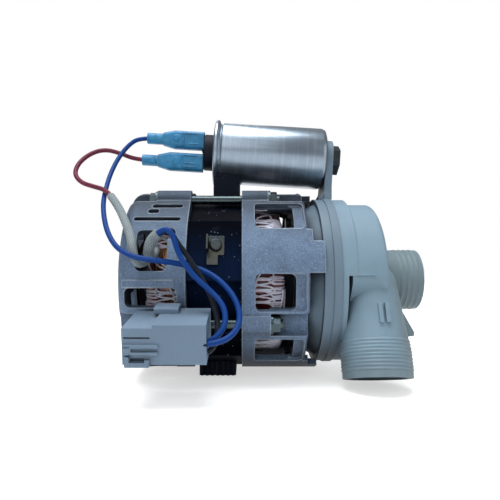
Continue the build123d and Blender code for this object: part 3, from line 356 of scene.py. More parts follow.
def drawnCan(name, tone, shade, own, label):
    # drawn aluminium can: fine lines round it, clear film with a bare label field and one rule line
    look = Look(name, Metallic=0.88, Coat_Weight=0.35, Coat_Roughness=0.12)
    local = look.add("Mapping", {"vector_type": "TEXTURE"},
                     {"Vector": look.place, "Location": tuple(c * mm for c in own["origin"]),
                      "Rotation": (0, radians(own["tilt"]), 0)})
    along, across, height = look.axes(local)
    lines = look.noise(1.0, 3, 0.6, look.scaled(1800, 40, 40, local))
    cloud = look.noise(55, 5, 0.65, local)
    smear = look.noise(1.0, 4, 0.6, look.scaled(60, 300, 300, local))
    blur = label["blur"]
    field = along.ramp(label["start"], label["start"] + blur) \
        * (1 - along.ramp(label["end"] - blur, label["end"])) \
        * height.ramp(label["low"], label["low"] + blur) \
        * (1 - across.ramp(label["back"] - blur, label["back"]))
    rule = (1 - abs(along - label["rule"]).ramp(0.00012, 0.00022)) * field
    colour = look.mix(cloud.ramp(0.35, 0.7) * 0.6, tone, shade)
    colour = look.mix(lines.ramp(0.5, 0.72) * 0.3, colour, (0.42, 0.47, 0.53))
    colour = look.mix(field * 0.35, colour, label["tone"])
    colour = look.mix(rule * 0.8, colour, (0.03, 0.035, 0.05))
    look.set(Base_Color=colour, Roughness=0.20 + smear * 0.16 + lines * 0.10 + field * 0.06,
             Normal=look.bump(lines + smear * 0.5, 0.00003, 0.5))
    return look.mat


def platedSteel(name, tone, warm, rough):
    # plated steel: its tint drifts between two tones in cloudy patches; fine scratches, a painted highlight
    # on the edges
    look = Look(name, Metallic=0.95)
    cloud = look.noise(240, 3, 0.6)
    scratch = look.noise(1.0, 2, 0.6, look.scaled(2600, 300, 300))
    rounded = look.roundedEdges(0.00015)
    edge = look.edgeMask(rounded, 0.03, 0.25)
    colour = look.mix(cloud.ramp(0.35, 0.65), tone, warm)
    # painted highlight along the edges
    colour = look.mix(edge * 0.55, colour, (0.40, 0.48, 0.52))
    look.set(Base_Color=colour, Roughness=rough + scratch * 0.2,
             Normal=look.bump(scratch, 0.00004, 0.5, rounded))
    return look.mat


def clearSleeve(name, tone, deep):
    # see-through tinted sleeve with small bubbles and milky haze
    look = Look(name, Transmission_Weight=0.30, IOR=1.46, Specular_IOR_Level=0.35,
                Subsurface_Weight=0.15, Subsurface_Scale=0.002)
    haze = look.noise(260, 4, 0.6)
    rounded = look.roundedEdges(0.0005)
    edge = look.edgeMask(rounded, 0.02, 0.2)
    colour = look.mix(haze.ramp(0.35, 0.65), tone, deep)
    colour = look.mix(look.dots(900, 0.06, 0.14) * 0.4, colour, (0.35, 0.60, 0.72))
    # painted highlight along the edges
    colour = look.mix(edge * 0.45, colour, (0.30, 0.62, 0.75))
    look.set(Base_Color=colour, Roughness=0.26 + haze * 0.25,
             Normal=look.bump(haze, 0.00016, 0.5, rounded))
    return look.mat


def leadSkin(name, tone, scuff):
    # smooth cable insulation with dusty scuffs along its length (UV: round, along in metres)
    look = Look(name, Specular_IOR_Level=0.15)
    uv = look.add("TexCoord", out="UV")
    streak = look.noise(1.0, 3, 0.6, look.scaled(3, 260, 1, uv))
    dust = look.noise(420, 4, 0.65)
    colour = look.mix(streak.ramp(0.45, 0.75) * 0.55, tone, scuff)
    colour = look.mix(dust.ramp(0.6, 0.8) * 0.25, colour, tuple(c + 0.03 for c in scuff))
    look.set(Base_Color=colour, Roughness=0.36 + dust * 0.2, Normal=look.bump(streak, 0.00008, 0.4))
    return look.mat


def wovenSleeve(name, tone, shade):
    # glass braid: strands pale, gaps darkened with painted shade, by the braid height that the sleeve's
    # mesh carries
    look = Look(name, Specular_IOR_Level=0.25, Sheen_Weight=0.1)
    height = look.add("Attribute", {"attribute_name": "braidHeight"}, out="Fac")
    soil = look.noise(130, 4, 0.6)
    fibre = look.noise(2600, 3, 0.7)
    # painted shade in the gaps between strands
    colour = look.mix(height.ramp(0.15, 0.75), shade, tone)
    colour = look.mix(soil.ramp(0.5, 0.75) * 0.35, colour, times(shade, 0.7))
    look.set(Base_Color=colour, Roughness=0.62 + soil * 0.2,
             Normal=look.bump(height * 0.6 + fibre * 0.4, 0.00010, 0.7))
    return look.mat


def wireLacquer(name, tone, glint, amber, leftEnd):
    # enamelled copper wire: dark red lacquer with browner patches, and amber strands that come in
    # over 3 mm beyond the distance leftEnd to the left
    look = Look(name, Metallic=0.35, Coat_Weight=0.6, Coat_Roughness=0.15)
    x, y, z = look.axes()
    patch = look.noise(180, 4, 0.6)
    drop = look.noise(900, 2, 0.5)
    strand = look.noise(1.0, 2, 0.5, look.scaled(620, 90, 90))
    left = (x * -1).ramp(leftEnd, leftEnd + 3 * mm)
    colour = look.mix(patch.ramp(0.35, 0.7), tone, glint)
    colour = look.mix(strand.ramp(0.52, 0.60) * left * 0.85, colour, amber)
    look.set(Base_Color=colour, Roughness=0.30 + drop * 0.2, Normal=look.bump(drop, 0.0001, 0.4))
    return look.mat


def cordWhite(name, tone, tint):
    # lacing cord soaked with varnish: fibre lines along it (UV: round, along in metres)
    look = Look(name, Sheen_Weight=0.15)
    uv = look.add("TexCoord", out="UV")
    fibre = look.noise(1.0, 2, 0.6, look.scaled(14, 500, 1, uv))
    soak = look.noise(150, 3, 0.6)
    colour = look.mix(soak.ramp(0.45, 0.7), tone, tint)
    colour = look.mix(fibre.ramp(0.5, 0.8) * 0.4, colour, times(tone, 0.62))
    look.set(Base_Color=colour, Roughness=0.55 + soak * 0.2, Normal=look.bump(fibre, 0.00012, 0.6))
    return look.mat


def groundSteel(name, tone, rough):
    # ground and polished steel with lines that run round the shaft
    look = Look(name, Metallic=0.95)
    lines = look.noise(1.0, 2, 0.5, look.scaled(2400, 60, 60))
    cloud = look.noise(130, 3, 0.6)
    colour = look.mix(cloud.ramp(0.4, 0.7) * 0.5, tone, times(tone, 0.7))
    look.set(Base_Color=colour, Roughness=rough + lines * 0.2, Normal=look.bump(lines, 0.00003, 0.5))
    return look.mat


spigotEnds = {"tone": (0.125, 0.168, 0.180), "inlet": (-0.026, -0.016), "outlet": (-0.040, -0.024)}
finishes = {
    "casting": castMetal("dieCastGrey", (0.132, 0.200, 0.308), (0.016, 0.034)),
    "stack": stackPaint("stackPaintNavy", (0.0016, 0.0065, 0.024), (0.0004, 0.0012, 0.004),
                        (0.034, 0.039)),
    "copper": wireLacquer("windingLacquer", (0.060, 0.005, 0.008), (0.150, 0.020, 0.018),
                          (0.42, 0.17, 0.020), 0.100),
    "lacing": cordWhite("lacingCord", (0.64, 0.66, 0.78), (0.58, 0.50, 0.62)),
    "capsule": mouldedPlastic("cutoutCapsule", (0.55, 0.56, 0.52), (0.45, 0.46, 0.44),
                              (0.2, 0.2, 0.2)),
    "zinc": platedSteel("zincPlate", (0.046, 0.068, 0.084), (0.060, 0.080, 0.082), 0.15),
    "zincDark": platedSteel("zincNut", (0.030, 0.043, 0.060), (0.055, 0.062, 0.060), 0.26),
    "brass": platedSteel("tinnedBrass", (0.034, 0.042, 0.047), (0.055, 0.058, 0.050), 0.16),
    "rubber": blackRubber("mouldedRubber", (0.0035, 0.0065, 0.014)),
    "footRubber": blackRubber("ribbedRubber", (0.0035, 0.0065, 0.014), ribbed=True),
    "base": mouldedPlastic("blackPhenolic", (0.004, 0.007, 0.016), (0.008, 0.012, 0.022),
                           (0.05, 0.05, 0.06), gloss=0.12),
    "can": drawnCan("drawnCan", (0.235, 0.295, 0.36), (0.15, 0.19, 0.245), canAxes, canLabel),
    "pump": mouldedPlastic("naturalPump", (0.180, 0.276, 0.348), (0.150, 0.236, 0.305),
                           (0.12, 0.13, 0.12), grimeAndShade=0.5, endTint=spigotEnds),
    # deep=0.9 gives the housing strong painted shade in its recesses
    "housing": mouldedPlastic("naturalHousing", (0.130, 0.194, 0.256), (0.105, 0.160, 0.215),
                              (0.10, 0.11, 0.10), grimeAndShade=0.6, deep=0.9),
    "connector": mouldedPlastic("naturalNylon", (0.148, 0.218, 0.305), (0.130, 0.194, 0.274),
                                (0.16, 0.15, 0.13), grimeAndShade=0.5, rough=0.5),
    "impeller": mouldedPlastic("filledPlastic", (0.05, 0.05, 0.055), (0.07, 0.07, 0.075),
                               (0.02, 0.02, 0.02)),
    "sleeve": clearSleeve("clearBlueSleeve", (0.034, 0.300, 0.580), (0.017, 0.195, 0.400)),
    "leadBlue": leadSkin("blueInsulation", (0.002, 0.036, 0.190), (0.006, 0.058, 0.240)),
    "leadRed": leadSkin("redInsulation", (0.115, 0.018, 0.040), (0.170, 0.040, 0.070)),
    "leadBlack": leadSkin("blackInsulation", (0.006, 0.009, 0.016), (0.020, 0.028, 0.042)),
    "braid": wovenSleeve("wovenSleeve", (0.225, 0.270, 0.290), (0.085, 0.110, 0.128)),
    "steel": groundSteel("groundSteel", (0.55, 0.56, 0.58), 0.22),
    "core": groundSteel("coreSteel", (0.22, 0.22, 0.23), 0.42),
    "cageAlu": groundSteel("castAluminium", (0.55, 0.56, 0.58), 0.45),
    "ceramic": mouldedPlastic("ceramicRing", (0.75, 0.74, 0.70), (0.72, 0.71, 0.67),
                              (0.6, 0.6, 0.58)),
    "carbon": blackRubber("pressedCarbon", (0.010, 0.010, 0.011))}

# the nodes that wear each finish
worn = {
    "casting": ["left_end_bracket", "right_end_bracket"],
    "stack": ["stator_stack"],
    "copper": ["stator_winding"],
    "lacing": ["winding_lacing"],
    "capsule": ["thermal_cutout"],
    "zinc": ["through_bolts", "bolt_nuts", "rear_housing_screws"],
    "zincDark": ["capacitor_nut", "earth_screw"],
    "brass": ["earth_tab", "capacitor_blades", "faston_receptacles", "connector_terminals"],
    "rubber": ["capacitor_pad", "seal_seat_cup", "seal_bellows", "housing_o_ring", "water_slinger",
               "bearing_shields"],
    "footRubber": ["rubber_foot"],
    "base": ["capacitor_base"],
    "can": ["capacitor_can"],
    "pump": ["pump_volute"],
    "housing": ["pump_rear_housing"],
    "connector": ["connector_body"],
    "impeller": ["impeller", "impeller_nut"],
    "sleeve": ["upper_faston_sleeve", "lower_faston_sleeve"],
    "leadBlue": ["lead_capacitor_blue", "lead_motor_blue"],
    "leadRed": ["lead_capacitor_red"],
    "leadBlack": ["lead_motor_black"],
    "braid": ["sleeve_long", "sleeve_short"],
    "steel": ["motor_shaft", "left_bearing_outer_ring", "right_bearing_outer_ring",
              "left_bearing_inner_ring", "right_bearing_inner_ring", "left_bearing_balls",
              "right_bearing_balls", "left_bearing_cage", "right_bearing_cage",
              "bearing_spring_washer"],
    "core": ["rotor_core"],
    "cageAlu": ["rotor_cage"],
    "ceramic": ["seal_seat_ring"],
    "carbon": ["seal_face_ring"]}
for finish, names in worn.items():
    for name in names:
        mesh = nodes[name].data
        mesh.materials.clear()
        mesh.materials.append(finishes[finish])
print("materials made")


# mesh helpers
def makePiece(name, points, faces, finish, uv=None, smooth=True):
    # a mesh object on the frame, at the origin, with its place in its vertices; uv is one pair for
    # each vertex, and smooth is one answer for all faces or one for each
    mesh = bpy.data.meshes.new(name)
    mesh.from_pydata(points, [], faces)
    mesh.polygons.foreach_set("use_smooth", np.full(len(mesh.polygons), smooth))
    if uv is not None:
        layer = mesh.uv_layers.new(name="UVMap")
        corner = np.zeros(len(mesh.loops), dtype=np.int32)
        mesh.loops.foreach_get("vertex_index", corner)
        layer.data.foreach_set("uv", np.asarray(uv, dtype=np.float32)[corner].ravel())
    mesh.materials.append(finishes[finish])
    mesh.update()
    piece = bpy.data.objects.new(name, mesh)
    scene.collection.objects.link(piece)
    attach(piece, "pump_frame")
    return piece


def roundEdges(piece, width, segments, fromAngle):
    # a small bevel on each edge sharper than fromAngle, in degrees
    piece.data.set_sharp_from_angle(angle=radians(sharpAngle))
    bevel = piece.modifiers.new("edges", "BEVEL")
    bevel.width = width * mm
    bevel.segments = segments
    bevel.limit_method = "ANGLE"
    bevel.angle_limit = radians(fromAngle)
    bevel.harden_normals = True


def turnAngles(count):
    # evenly spaced angles over a full turn, from 0
    return np.linspace(0, 2 * np.pi, count, endpoint=False)


def boxWave(wave, power):
    # a sine or cosine pushed towards its ends: sign(wave) * |wave| ** (2 / power)
    return np.sign(wave) * np.abs(wave) ** (2 / power)


def gridFaces(rows, columns, closeRows, start=0):
    # quads between neighbouring rows and columns of a grid whose index is row * columns + column;
    # its columns always close, and its rows where closeRows says so
    r0, c0 = np.meshgrid(np.arange(rows if closeRows else rows - 1), np.arange(columns), indexing="ij")
    r1 = (r0 + 1) % rows
    c1 = (c0 + 1) % columns
    quads = np.stack([r0 * columns + c0, r0 * columns + c1, r1 * columns + c1, r1 * columns + c0], -1)
    return quads.reshape(-1, 4) + start


def outward(points, faces):
    # the faces in the order that makes the enclosed volume, the sum of their cones, positive
    a, b, c, d = (points[faces[:, k]] for k in range(4))
    volume = np.einsum("ij,ij->", a, np.cross(b, c)) + np.einsum("ij,ij->", a, np.cross(c, d))
    return faces if volume > 0 else faces[:, ::-1]


def turnedSolid(stations, radii, sides, start, axis, side):
    # a closed profile of (station, radius) turned about a line: its rings run round the line
    # from start along axis, and side is the direction that angle 0 points in:
    # point = start + axis * station + radius * (side * cos(turn) + third * sin(turn))
    axis = np.array(axis) / np.linalg.norm(axis)
    side = np.array(side) / np.linalg.norm(side)
    third = np.cross(axis, side)
    turn = turnAngles(sides)[:, None]
    spokes = side * np.cos(turn) + third * np.sin(turn)
    points = np.array(start) + axis * stations[:, None, None] + spokes * radii[:, None, None]
    points = points.reshape(-1, 3) * mm
    return points, outward(points, gridFaces(len(stations), sides, True))


def tubeGrid(path, radius, sides, closed=False):
    # rings of points round a path; each ring lies across the path's own direction there, and one
    # direction across is carried along the path without twist:
    # point = path + radius * (across * cos(turn) + third * sin(turn))
    if closed:
        along = np.roll(path, -1, 0) - np.roll(path, 1, 0)
    else:
        along = np.gradient(path, axis=0)
    along /= np.linalg.norm(along, axis=1)[:, None]
    across = np.zeros_like(path)
    aside = (0.3, 0.2, 1.0)  # in line with no path's first step
    start = np.cross(along[0], aside)
    across[0] = start / np.linalg.norm(start)
    for k in range(1, len(path)):
        step = across[k - 1] - along[k] * np.dot(across[k - 1], along[k])
        across[k] = step / np.linalg.norm(step)
    third = np.cross(along, across)
    turn = turnAngles(sides)[None, :, None]
    ring = across[:, None, :] * np.cos(turn) + third[:, None, :] * np.sin(turn)
    return path[:, None, :] + ring * radius


def routeLine(points):
    # the smooth line of a route: NURBS spline of order 3 with the route's points as control points
    curve = bpy.data.curves.new("routeLine", "CURVE")
    curve.dimensions = "3D"
    spline = curve.splines.new("NURBS")
    spline.points.add(len(points) - 1)
    spline.points.foreach_set("co", np.array([(*p, 1.0) for p in points]).ravel())
    spline.order_u = 3
    spline.use_endpoint_u = True
    spline.resolution_u = 14
    holder = bpy.data.objects.new("routeLine", curve)
    line = bpy.data.meshes.new_from_object(holder)
    found = np.zeros(len(line.vertices) * 3)
    line.vertices.foreach_get("co", found)
    bpy.data.objects.remove(holder)
    return found.reshape(-1, 3)


def stepsOf(path):
    # the distance from each point of the path to the next
    return np.linalg.norm(np.diff(path, axis=0), axis=1)


# leads and sleeves
leads = {
    "capacitorBlue": {
        "route": [
            (-130.5, 6.0, 72.06), (-138.5, 6.0, 72.5), (-144.0, 4.0, 67.5), (-147.8, 0.0, 60.0),
            (-149.6, -6.0, 51.5), (-149.7, -12.9, 43.2), (-148.1, -22.5, 35.1), (-144.6, -32.5, 27.2),
            (-140.4, -41.0, 20.0), (-135.1, -48.0, 14.2), (-128.4, -53.0, 10.6), (-120.6, -53.5, 9.2),
            (-113.3, -50.8, 8.4), (-105.9, -47.6, 6.9), (-99.3, -48.0, 4.6), (-93.6, -51.0, 1.0),
            (-88.9, -54.0, -4.0), (-86.2, -57.5, -9.8), (-86.4, -61.0, -15.0), (-89.6, -63.6, -18.8),
            (-94.2, -65.2, -20.6), (-98.0, -65.4, -21.0)],
        "radius": 1.1, "finish": "leadBlue", "slot": "lead_blue", "node": "lead_capacitor_blue"},
    "capacitorRed": {
        "route": [
            (-132.68, 6.0, 60.97), (-140.7, 6.0, 61.5), (-148.5, 6.8, 65.0), (-156.2, 6.0, 66.6),
            (-162.6, 3.0, 63.6), (-167.0, -1.5, 57.6), (-166.8, -6.8, 51.2), (-161.8, -11.6, 46.3),
            (-155.0, -15.6, 43.9), (-147.6, -18.8, 41.6), (-144.4, -22.8, 38.2)],
        "radius": 1.1, "finish": "leadRed", "slot": "lead_red", "node": "lead_capacitor_red"},
    "motorBlue": {
        "route": [
            (-117.94, -52.29, 19.29), (-115.28, -52.8, 21.34), (-112.6, -53.1, 20.0),
            (-111.2, -53.3, 16.6), (-110.0, -53.4, 12.4), (-107.6, -53.5, 8.0), (-104.6, -53.5, 3.9),
            (-101.0, -53.7, 0.4), (-97.2, -54.2, -2.9), (-93.7, -55.6, -6.2), (-91.6, -58.0, -10.2),
            (-91.5, -60.4, -14.6), (-93.6, -62.0, -18.0), (-96.2, -62.5, -20.0), (-98.0, -62.6, -20.6)],
        "radius": 1.1, "finish": "leadBlue", "slot": "lead_blue", "node": "lead_motor_blue"},
    "motorBlack": {
        "route": [
            (-117.66, -49.91, 19.51), (-115.2, -50.4, 21.4), (-112.7, -50.6, 19.6),
            (-110.4, -50.7, 15.6), (-107.0, -50.8, 11.4), (-104.0, -50.8, 6.8), (-100.8, -51.0, 1.8),
            (-98.0, -51.6, -3.4), (-96.0, -53.2, -8.6), (-94.7, -55.4, -13.4), (-94.3, -57.8, -17.8),
            (-95.2, -60.0, -21.6), (-96.5, -61.1, -23.8), (-98.0, -61.5, -24.6)],
        "radius": 1.1, "finish": "leadBlack", "slot": "lead_black", "node": "lead_motor_black"},
    "sleeveLong": {
        "route": [
            (-144.4, -22.8, 38.2), (-139.3, -29.2, 32.8), (-134.2, -37.4, 25.4), (-130.4, -44.0, 19.2),
            (-128.9, -47.6, 14.8), (-128.0, -49.0, 11.0), (-127.2, -47.4, 8.2), (-126.4, -43.6, 7.8),
            (-125.6, -38.8, 8.6), (-124.9, -34.4, 9.8)],
        "radius": 1.8, "strands": 10, "finish": "braid", "slot": "sleeve_white", "node": "sleeve_long"},
    "sleeveShort": {
        "route": [
            (-122.4, -32.5, 13.3), (-122.4, -37.5, 12.3), (-122.5, -42.5, 11.3), (-122.4, -46.8, 11.4),
            (-121.8, -49.6, 14.0), (-120.4, -50.6, 17.4), (-117.8, -51.1, 19.4)],
        "radius": 2.2, "strands": 12, "finish": "braid", "slot": "sleeve_white", "node": "sleeve_short"}}
leadSides = 20
braid = {"pitch": 2.2, "depth": 0.16, "ringGap": 0.22, "sidesPerStrand": 6}


def makeLead(name, facts):
    # a round tube of constant radius along the route's smooth line, with a flat end at each tip;
    # a braided sleeve has finer rings and two sets of strands, helices of opposite hand:
    # radius = its own - depth * (1 - (|sin(right)| + |sin(left)|) / 2)
    path = routeLine([tuple(c * mm for c in p) for p in facts["route"]])
    line = path
    along = np.concatenate([[0], np.cumsum(stepsOf(path))])
    sides = leadSides
    size = facts["radius"] * mm
    if "strands" in facts:
        sides = facts["strands"] * braid["sidesPerStrand"]
        steps = np.linspace(0, along[-1], int(along[-1] / (braid["ringGap"] * mm)))
        line = np.stack([np.interp(steps, along, path[:, k]) for k in range(3)], -1)
        along = steps
    rings = tubeGrid(line, size, sides)
    if "strands" in facts:
        turn = turnAngles(sides) * facts["strands"] / 2
        climb = along[:, None] / (braid["pitch"] * mm) * np.pi
        height = (np.abs(np.sin(turn + climb)) + np.abs(np.sin(turn - climb))) / 2
        centre = rings.mean(axis=1, keepdims=True)
        swell = 1 + (height - 1) * braid["depth"] * mm / size
        rings = centre + (rings - centre) * swell[:, :, None]
    count = len(line)
    around = np.abs(np.linspace(-1, 1, sides, endpoint=False))
    uv = np.stack(np.broadcast_arrays(around, along[:, None]), -1).reshape(-1, 2)
    faces = gridFaces(count, sides, False)[:, ::-1].tolist()
    faces.append(list(range(sides)))
    faces.append(list(range((count - 1) * sides, count * sides))[::-1])
    piece = makePiece(name, rings.reshape(-1, 3), faces, facts["finish"], uv,
                      [len(f) == 4 for f in faces])
    if "strands" in facts:
        carried = piece.data.attributes.new("braidHeight", "FLOAT", "POINT")
        carried.data.foreach_set("value", height.astype(np.float32).ravel())
    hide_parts(facts["node"])
    return piece, path


# rails and frame on the front of the connector, in its own axes: x from its left end, z from its
# middle, and how far each stands out of the front face
connectorTrim = {
    "centre": (-113.0, -54.85, -19.26), "tilt": 9.0, "left": -15.0, "front": -12.0, "sink": 1.0,
    "bars": [(0.5, 13.0, -1.15, 0.35, 0.95), (3.0, 13.0, -3.45, -2.35, 1.25),
             (0.5, 3.4, -3.45, 0.0, 0.95), (0.9, 9.8, -7.9, -6.15, 1.6), (0.9, 2.7, -6.4, -4.1, 1.6),
             (8.1, 9.8, -6.4, -5.2, 1.6)],
    "edge": 0.32, "edgeSegments": 3, "edgeFrom": 30}


def makeConnectorTrim(facts):
    # bevelled boxes, turned with the connector about its own centre:
    # y' = y cos - z sin, z' = y sin + z cos
    corners = np.array([(i, j, k) for i in (0, 1) for j in (0, 1) for k in (0, 1)])
    boxFaces = np.array([(0, 1, 3, 2), (4, 6, 7, 5), (0, 4, 5, 1), (2, 3, 7, 6), (0, 2, 6, 4),
                         (1, 5, 7, 3)])
    lean = radians(facts["tilt"])
    points, faces = [], []
    for index, (x0, x1, z0, z1, out) in enumerate(facts["bars"]):
        low = np.array([facts["left"] + x0, facts["front"] - out, z0])
        high = np.array([facts["left"] + x1, facts["front"] + facts["sink"], z1])
        x, y, z = (low + (high - low) * corners).T
        turned = np.stack([x, y * cos(lean) - z * sin(lean), y * sin(lean) + z * cos(lean)], -1)
        points.append((turned + facts["centre"]) * mm)
        faces.append(outward(points[-1], boxFaces) + len(corners) * index)
    piece = makePiece("connectorTrim", np.concatenate(points), np.concatenate(faces), "connector")
    roundEdges(piece, facts["edge"], facts["edgeSegments"], facts["edgeFrom"])
    return piece


trimPiece = makeConnectorTrim(connectorTrim)
print("connector trimmed")

made = {name: makeLead(name, facts) for name, facts in leads.items()}
print("leads laid")


# stator end turns and their lacing
endTurns = {"strands": 56, "stations": 140, "wireRadius": 0.42, "sides": 5, "middleRadius": 29.4,
            "halfHeight": 4.1, "halfWidth": 7.8, "square": 3.4, "centres": (-118.25, -75.75),
            "sway": (0.10, 0.05), "lift": (-0.25, 0.12), "wave": 0.15, "seed": 5,
            "coreGrow": -0.7, "coreStations": 96, "coreSides": 28}
lacing = {"bundles": 7, "firstAngles": (-17.0, -7.0), "wraps": 15, "spread": 11.0, "scatter": 0.4,
          "cordRadius": 0.41, "stations": 60, "sides": 5, "lift": 0.45, "liftMore": 0.25,
          "sway": 0.5, "knot": 0.16, "fan": 0.26, "knotAngles": (-7.5, 1.0, 9.0), "tie": 0.5,
          "tieLift": 1.0, "tieStations": 24, "uvScale": 0.006, "seed": 8,
          "ties": [(0, 1, 0, 0.30, -0.55), (0, 1, 0, -0.55, 0.30), (1, 2, 0, 0.30, -0.55),
                   (1, 2, 0, -0.55, 0.30), (2, 0, 1, -0.35, 0.25), (2, 0, 1, 0.25, -0.70),
                   (1, 1, 1, -0.9, 1.0), (1, 1, 1, -0.3, 1.5)]}


def ringPoint(angle, phase, centre, facts, grow, side):
    # angle round the shaft from -Y upwards, phase round the section (0 outside, quarter turn away
    # from the stack); the section is a rounded box: boxWave() waves times its half sizes
    radius = facts["middleRadius"] + boxWave(np.cos(phase), facts["square"]) * (facts["halfHeight"] + grow)
    x = centre + side * boxWave(np.sin(phase), facts["square"]) * (facts["halfWidth"] + grow)
    return np.stack(np.broadcast_arrays(x, -radius * np.cos(angle), radius * np.sin(angle)), -1) * mm


def makeEndTurns(facts):
    # strands side by side round the section, over a plain core; each sways round the section by two
    # sines and out from it by one, all of whole numbers of waves in a turn round the shaft
    rng = np.random.default_rng(facts["seed"])
    angle = turnAngles(facts["stations"])
    wide, narrow = facts["sway"]
    points, faces, start = [], [], 0
    for centre, side in zip(facts["centres"], (-1, 1)):
        for phase in turnAngles(facts["strands"]):
            sway = wide * np.sin(angle * rng.integers(2, 5) + rng.uniform(0, 6.28)) \
                + narrow * np.sin(angle * rng.integers(6, 11) + rng.uniform(0, 6.28))
            lift = rng.uniform(*facts["lift"]) + facts["wave"] * np.sin(angle * rng.integers(3, 8))
            path = ringPoint(angle, phase + sway, centre, facts, lift, side)
            rings = tubeGrid(path, facts["wireRadius"] * mm, facts["sides"], closed=True)
            points.append(rings.reshape(-1, 3))
            faces.append(gridFaces(*rings.shape[:2], True, start)[:, ::-1])
            start += len(points[-1])
        core = ringPoint(turnAngles(facts["coreStations"])[:, None], turnAngles(facts["coreSides"]),
                         centre, facts, facts["coreGrow"], side)
        points.append(core.reshape(-1, 3))
        order = gridFaces(*core.shape[:2], True, start)
        faces.append(order if side < 0 else order[:, ::-1])
        start += len(points[-1])
    piece = makePiece("endTurnWires", np.concatenate(points), np.concatenate(faces), "copper")
    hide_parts("stator_winding")


def makeLacing(facts, turns):
    # cords wrapped round the end turns: each runs with its neighbours at the open end and, by a ramp
    # over a share of the half width, gathers to the nearest of three knots; ties join the knots of
    # a bundle to each other and to the next bundle: from knot, to knot, bundles on, and the phases
    # at both ends, with a cosine ramp between
    rng = np.random.default_rng(facts["seed"])
    points, faces, uvs, start = [], [], [], 0
    sides = facts["sides"]
    gap = 360 / facts["bundles"]
    phase = turnAngles(facts["stations"])
    opening = np.clip((boxWave(np.sin(phase), turns["square"]) - facts["knot"]) / facts["fan"], 0, 1)
    knots = np.array(facts["knotAngles"])

    def addCord(angle, run, lift, centre, side, closed):
        nonlocal start
        path = ringPoint(angle, run, centre, turns, lift, side)
        points.append(tubeGrid(path, facts["cordRadius"] * mm, sides, closed).reshape(-1, 3))
        faces.append(gridFaces(len(run), sides, closed, start)[:, ::-1])
        uvs.append(np.stack(np.broadcast_arrays(np.linspace(0, 1, sides), run[:, None] * facts["uvScale"]),
                            -1).reshape(-1, 2))
        start += len(points[-1])

    for centre, side, first in zip(turns["centres"], (-1, 1), facts["firstAngles"]):
        for bundle in range(facts["bundles"]):
            middle = first + gap * bundle
            for place in np.linspace(-1, 1, facts["wraps"]):
                off = place * facts["spread"] + rng.uniform(-1, 1) * facts["scatter"]
                knot = knots[np.argmin(np.abs(knots - off))] + rng.uniform(-1, 1) * facts["tie"]
                sway = facts["sway"] * np.sin(phase + rng.uniform(0, 6))
                angle = np.radians(middle + knot + (off - knot) * opening + sway)
                lift = facts["lift"] + rng.uniform(0, facts["liftMore"])
                addCord(angle, phase, lift, centre, side, True)
            part = np.linspace(0, 1, facts["tieStations"])
            for here, there, onward, low, high in facts["ties"]:
                slant = low + (high - low) * (0.5 - 0.5 * np.cos(part * np.pi))
                angle = middle + knots[here] + (gap * onward + knots[there] - knots[here]) * part
                addCord(np.radians(angle), slant, facts["tieLift"], centre, side, False)
    piece = makePiece("lacingCords", np.concatenate(points), np.concatenate(faces), "lacing",
                      np.concatenate(uvs))
    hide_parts("winding_lacing")


makeEndTurns(endTurns)
makeLacing(lacing, endTurns)
print("windings wound")


# ridges round the two hose spigots
ridges = {
    "outletRidges": {"start": (-28.4, -36.4, -40.6), "axis": (0, 0.292372, 0.956305), "side": (1, 0, 0),
                     "bore": ((0, 14.5), (11, 14.5), (40, 11.3)), "first": 3.4, "pitch": 1.45,
                     "count": 9, "height": 0.34, "sharp": 1.2},
    "inletRidges": {"start": (0, 0, 0), "axis": (-1, 0, 0), "side": (0, 0, 1),
                    "bore": ((0, 14.6), (24, 14.6)), "first": 2.6, "pitch": 2.5,
                    "count": 4, "height": 0.20, "sharp": 3.0}}
ridgeMesh = {"ringsPerPitch": 12, "sides": 120, "film": 0.03, "root": 0.6}


def makeRidges(name, facts):
    # a thin sleeve on the spigot: radius = the spigot's own + height * a power of a cosine wave
    # with one crest for each pitch; its inner face lies inside the spigot's wall
    low = facts["first"] - facts["pitch"] / 2
    high = low + facts["pitch"] * facts["count"]
    t = np.linspace(low, high, facts["count"] * ridgeMesh["ringsPerPitch"] + 1)
    own = np.interp(t, *zip(*facts["bore"]))
    wave = (0.5 + 0.5 * np.cos(2 * np.pi * (t - facts["first"]) / facts["pitch"])) ** facts["sharp"]
    outer = own + ridgeMesh["film"] + facts["height"] * wave
    points, faces = turnedSolid(np.concatenate([t, t[::-1]]),
                                np.concatenate([outer, own[::-1] - ridgeMesh["root"]]),
                                ridgeMesh["sides"], facts["start"], facts["axis"], facts["side"])
    makePiece(name, points, faces, "pump")


for name, facts in ridges.items():
    makeRidges(name, facts)
print("spigots ridged")


# raised marks on the two terminal sleeves, in the capacitor's own axes: distance along, height
# above the sleeve's middle, half length and half width
sleeveMarks = {
    "upperSleeveMarks": {"middle": 5.6, "marks": [
        (68.2, 2.9, 4.2, 0.55), (75.0, 0.3, 1.9, 1.9), (71.6, 0.0, 0.45, 3.3),
        (66.2, -2.2, 2.6, 0.40), (85.6, 0.0, 0.5, 1.7)]},
    "lowerSleeveMarks": {"middle": -5.6, "marks": [
        (67.6, 3.0, 3.4, 0.50), (67.6, -0.9, 3.2, 0.38), (67.6, -2.6, 3.4, 0.45),
        (74.8, 0.0, 2.3, 2.3), (71.9, 0.0, 0.45, 3.4), (85.8, 0.0, 0.5, 1.8)]}}
markSeat = {"face": 3.02, "neckFrom": 80, "neckFace": 0.86, "sink": 0.04, "height": 0.34, "root": 0.5,
            "sides": 36}


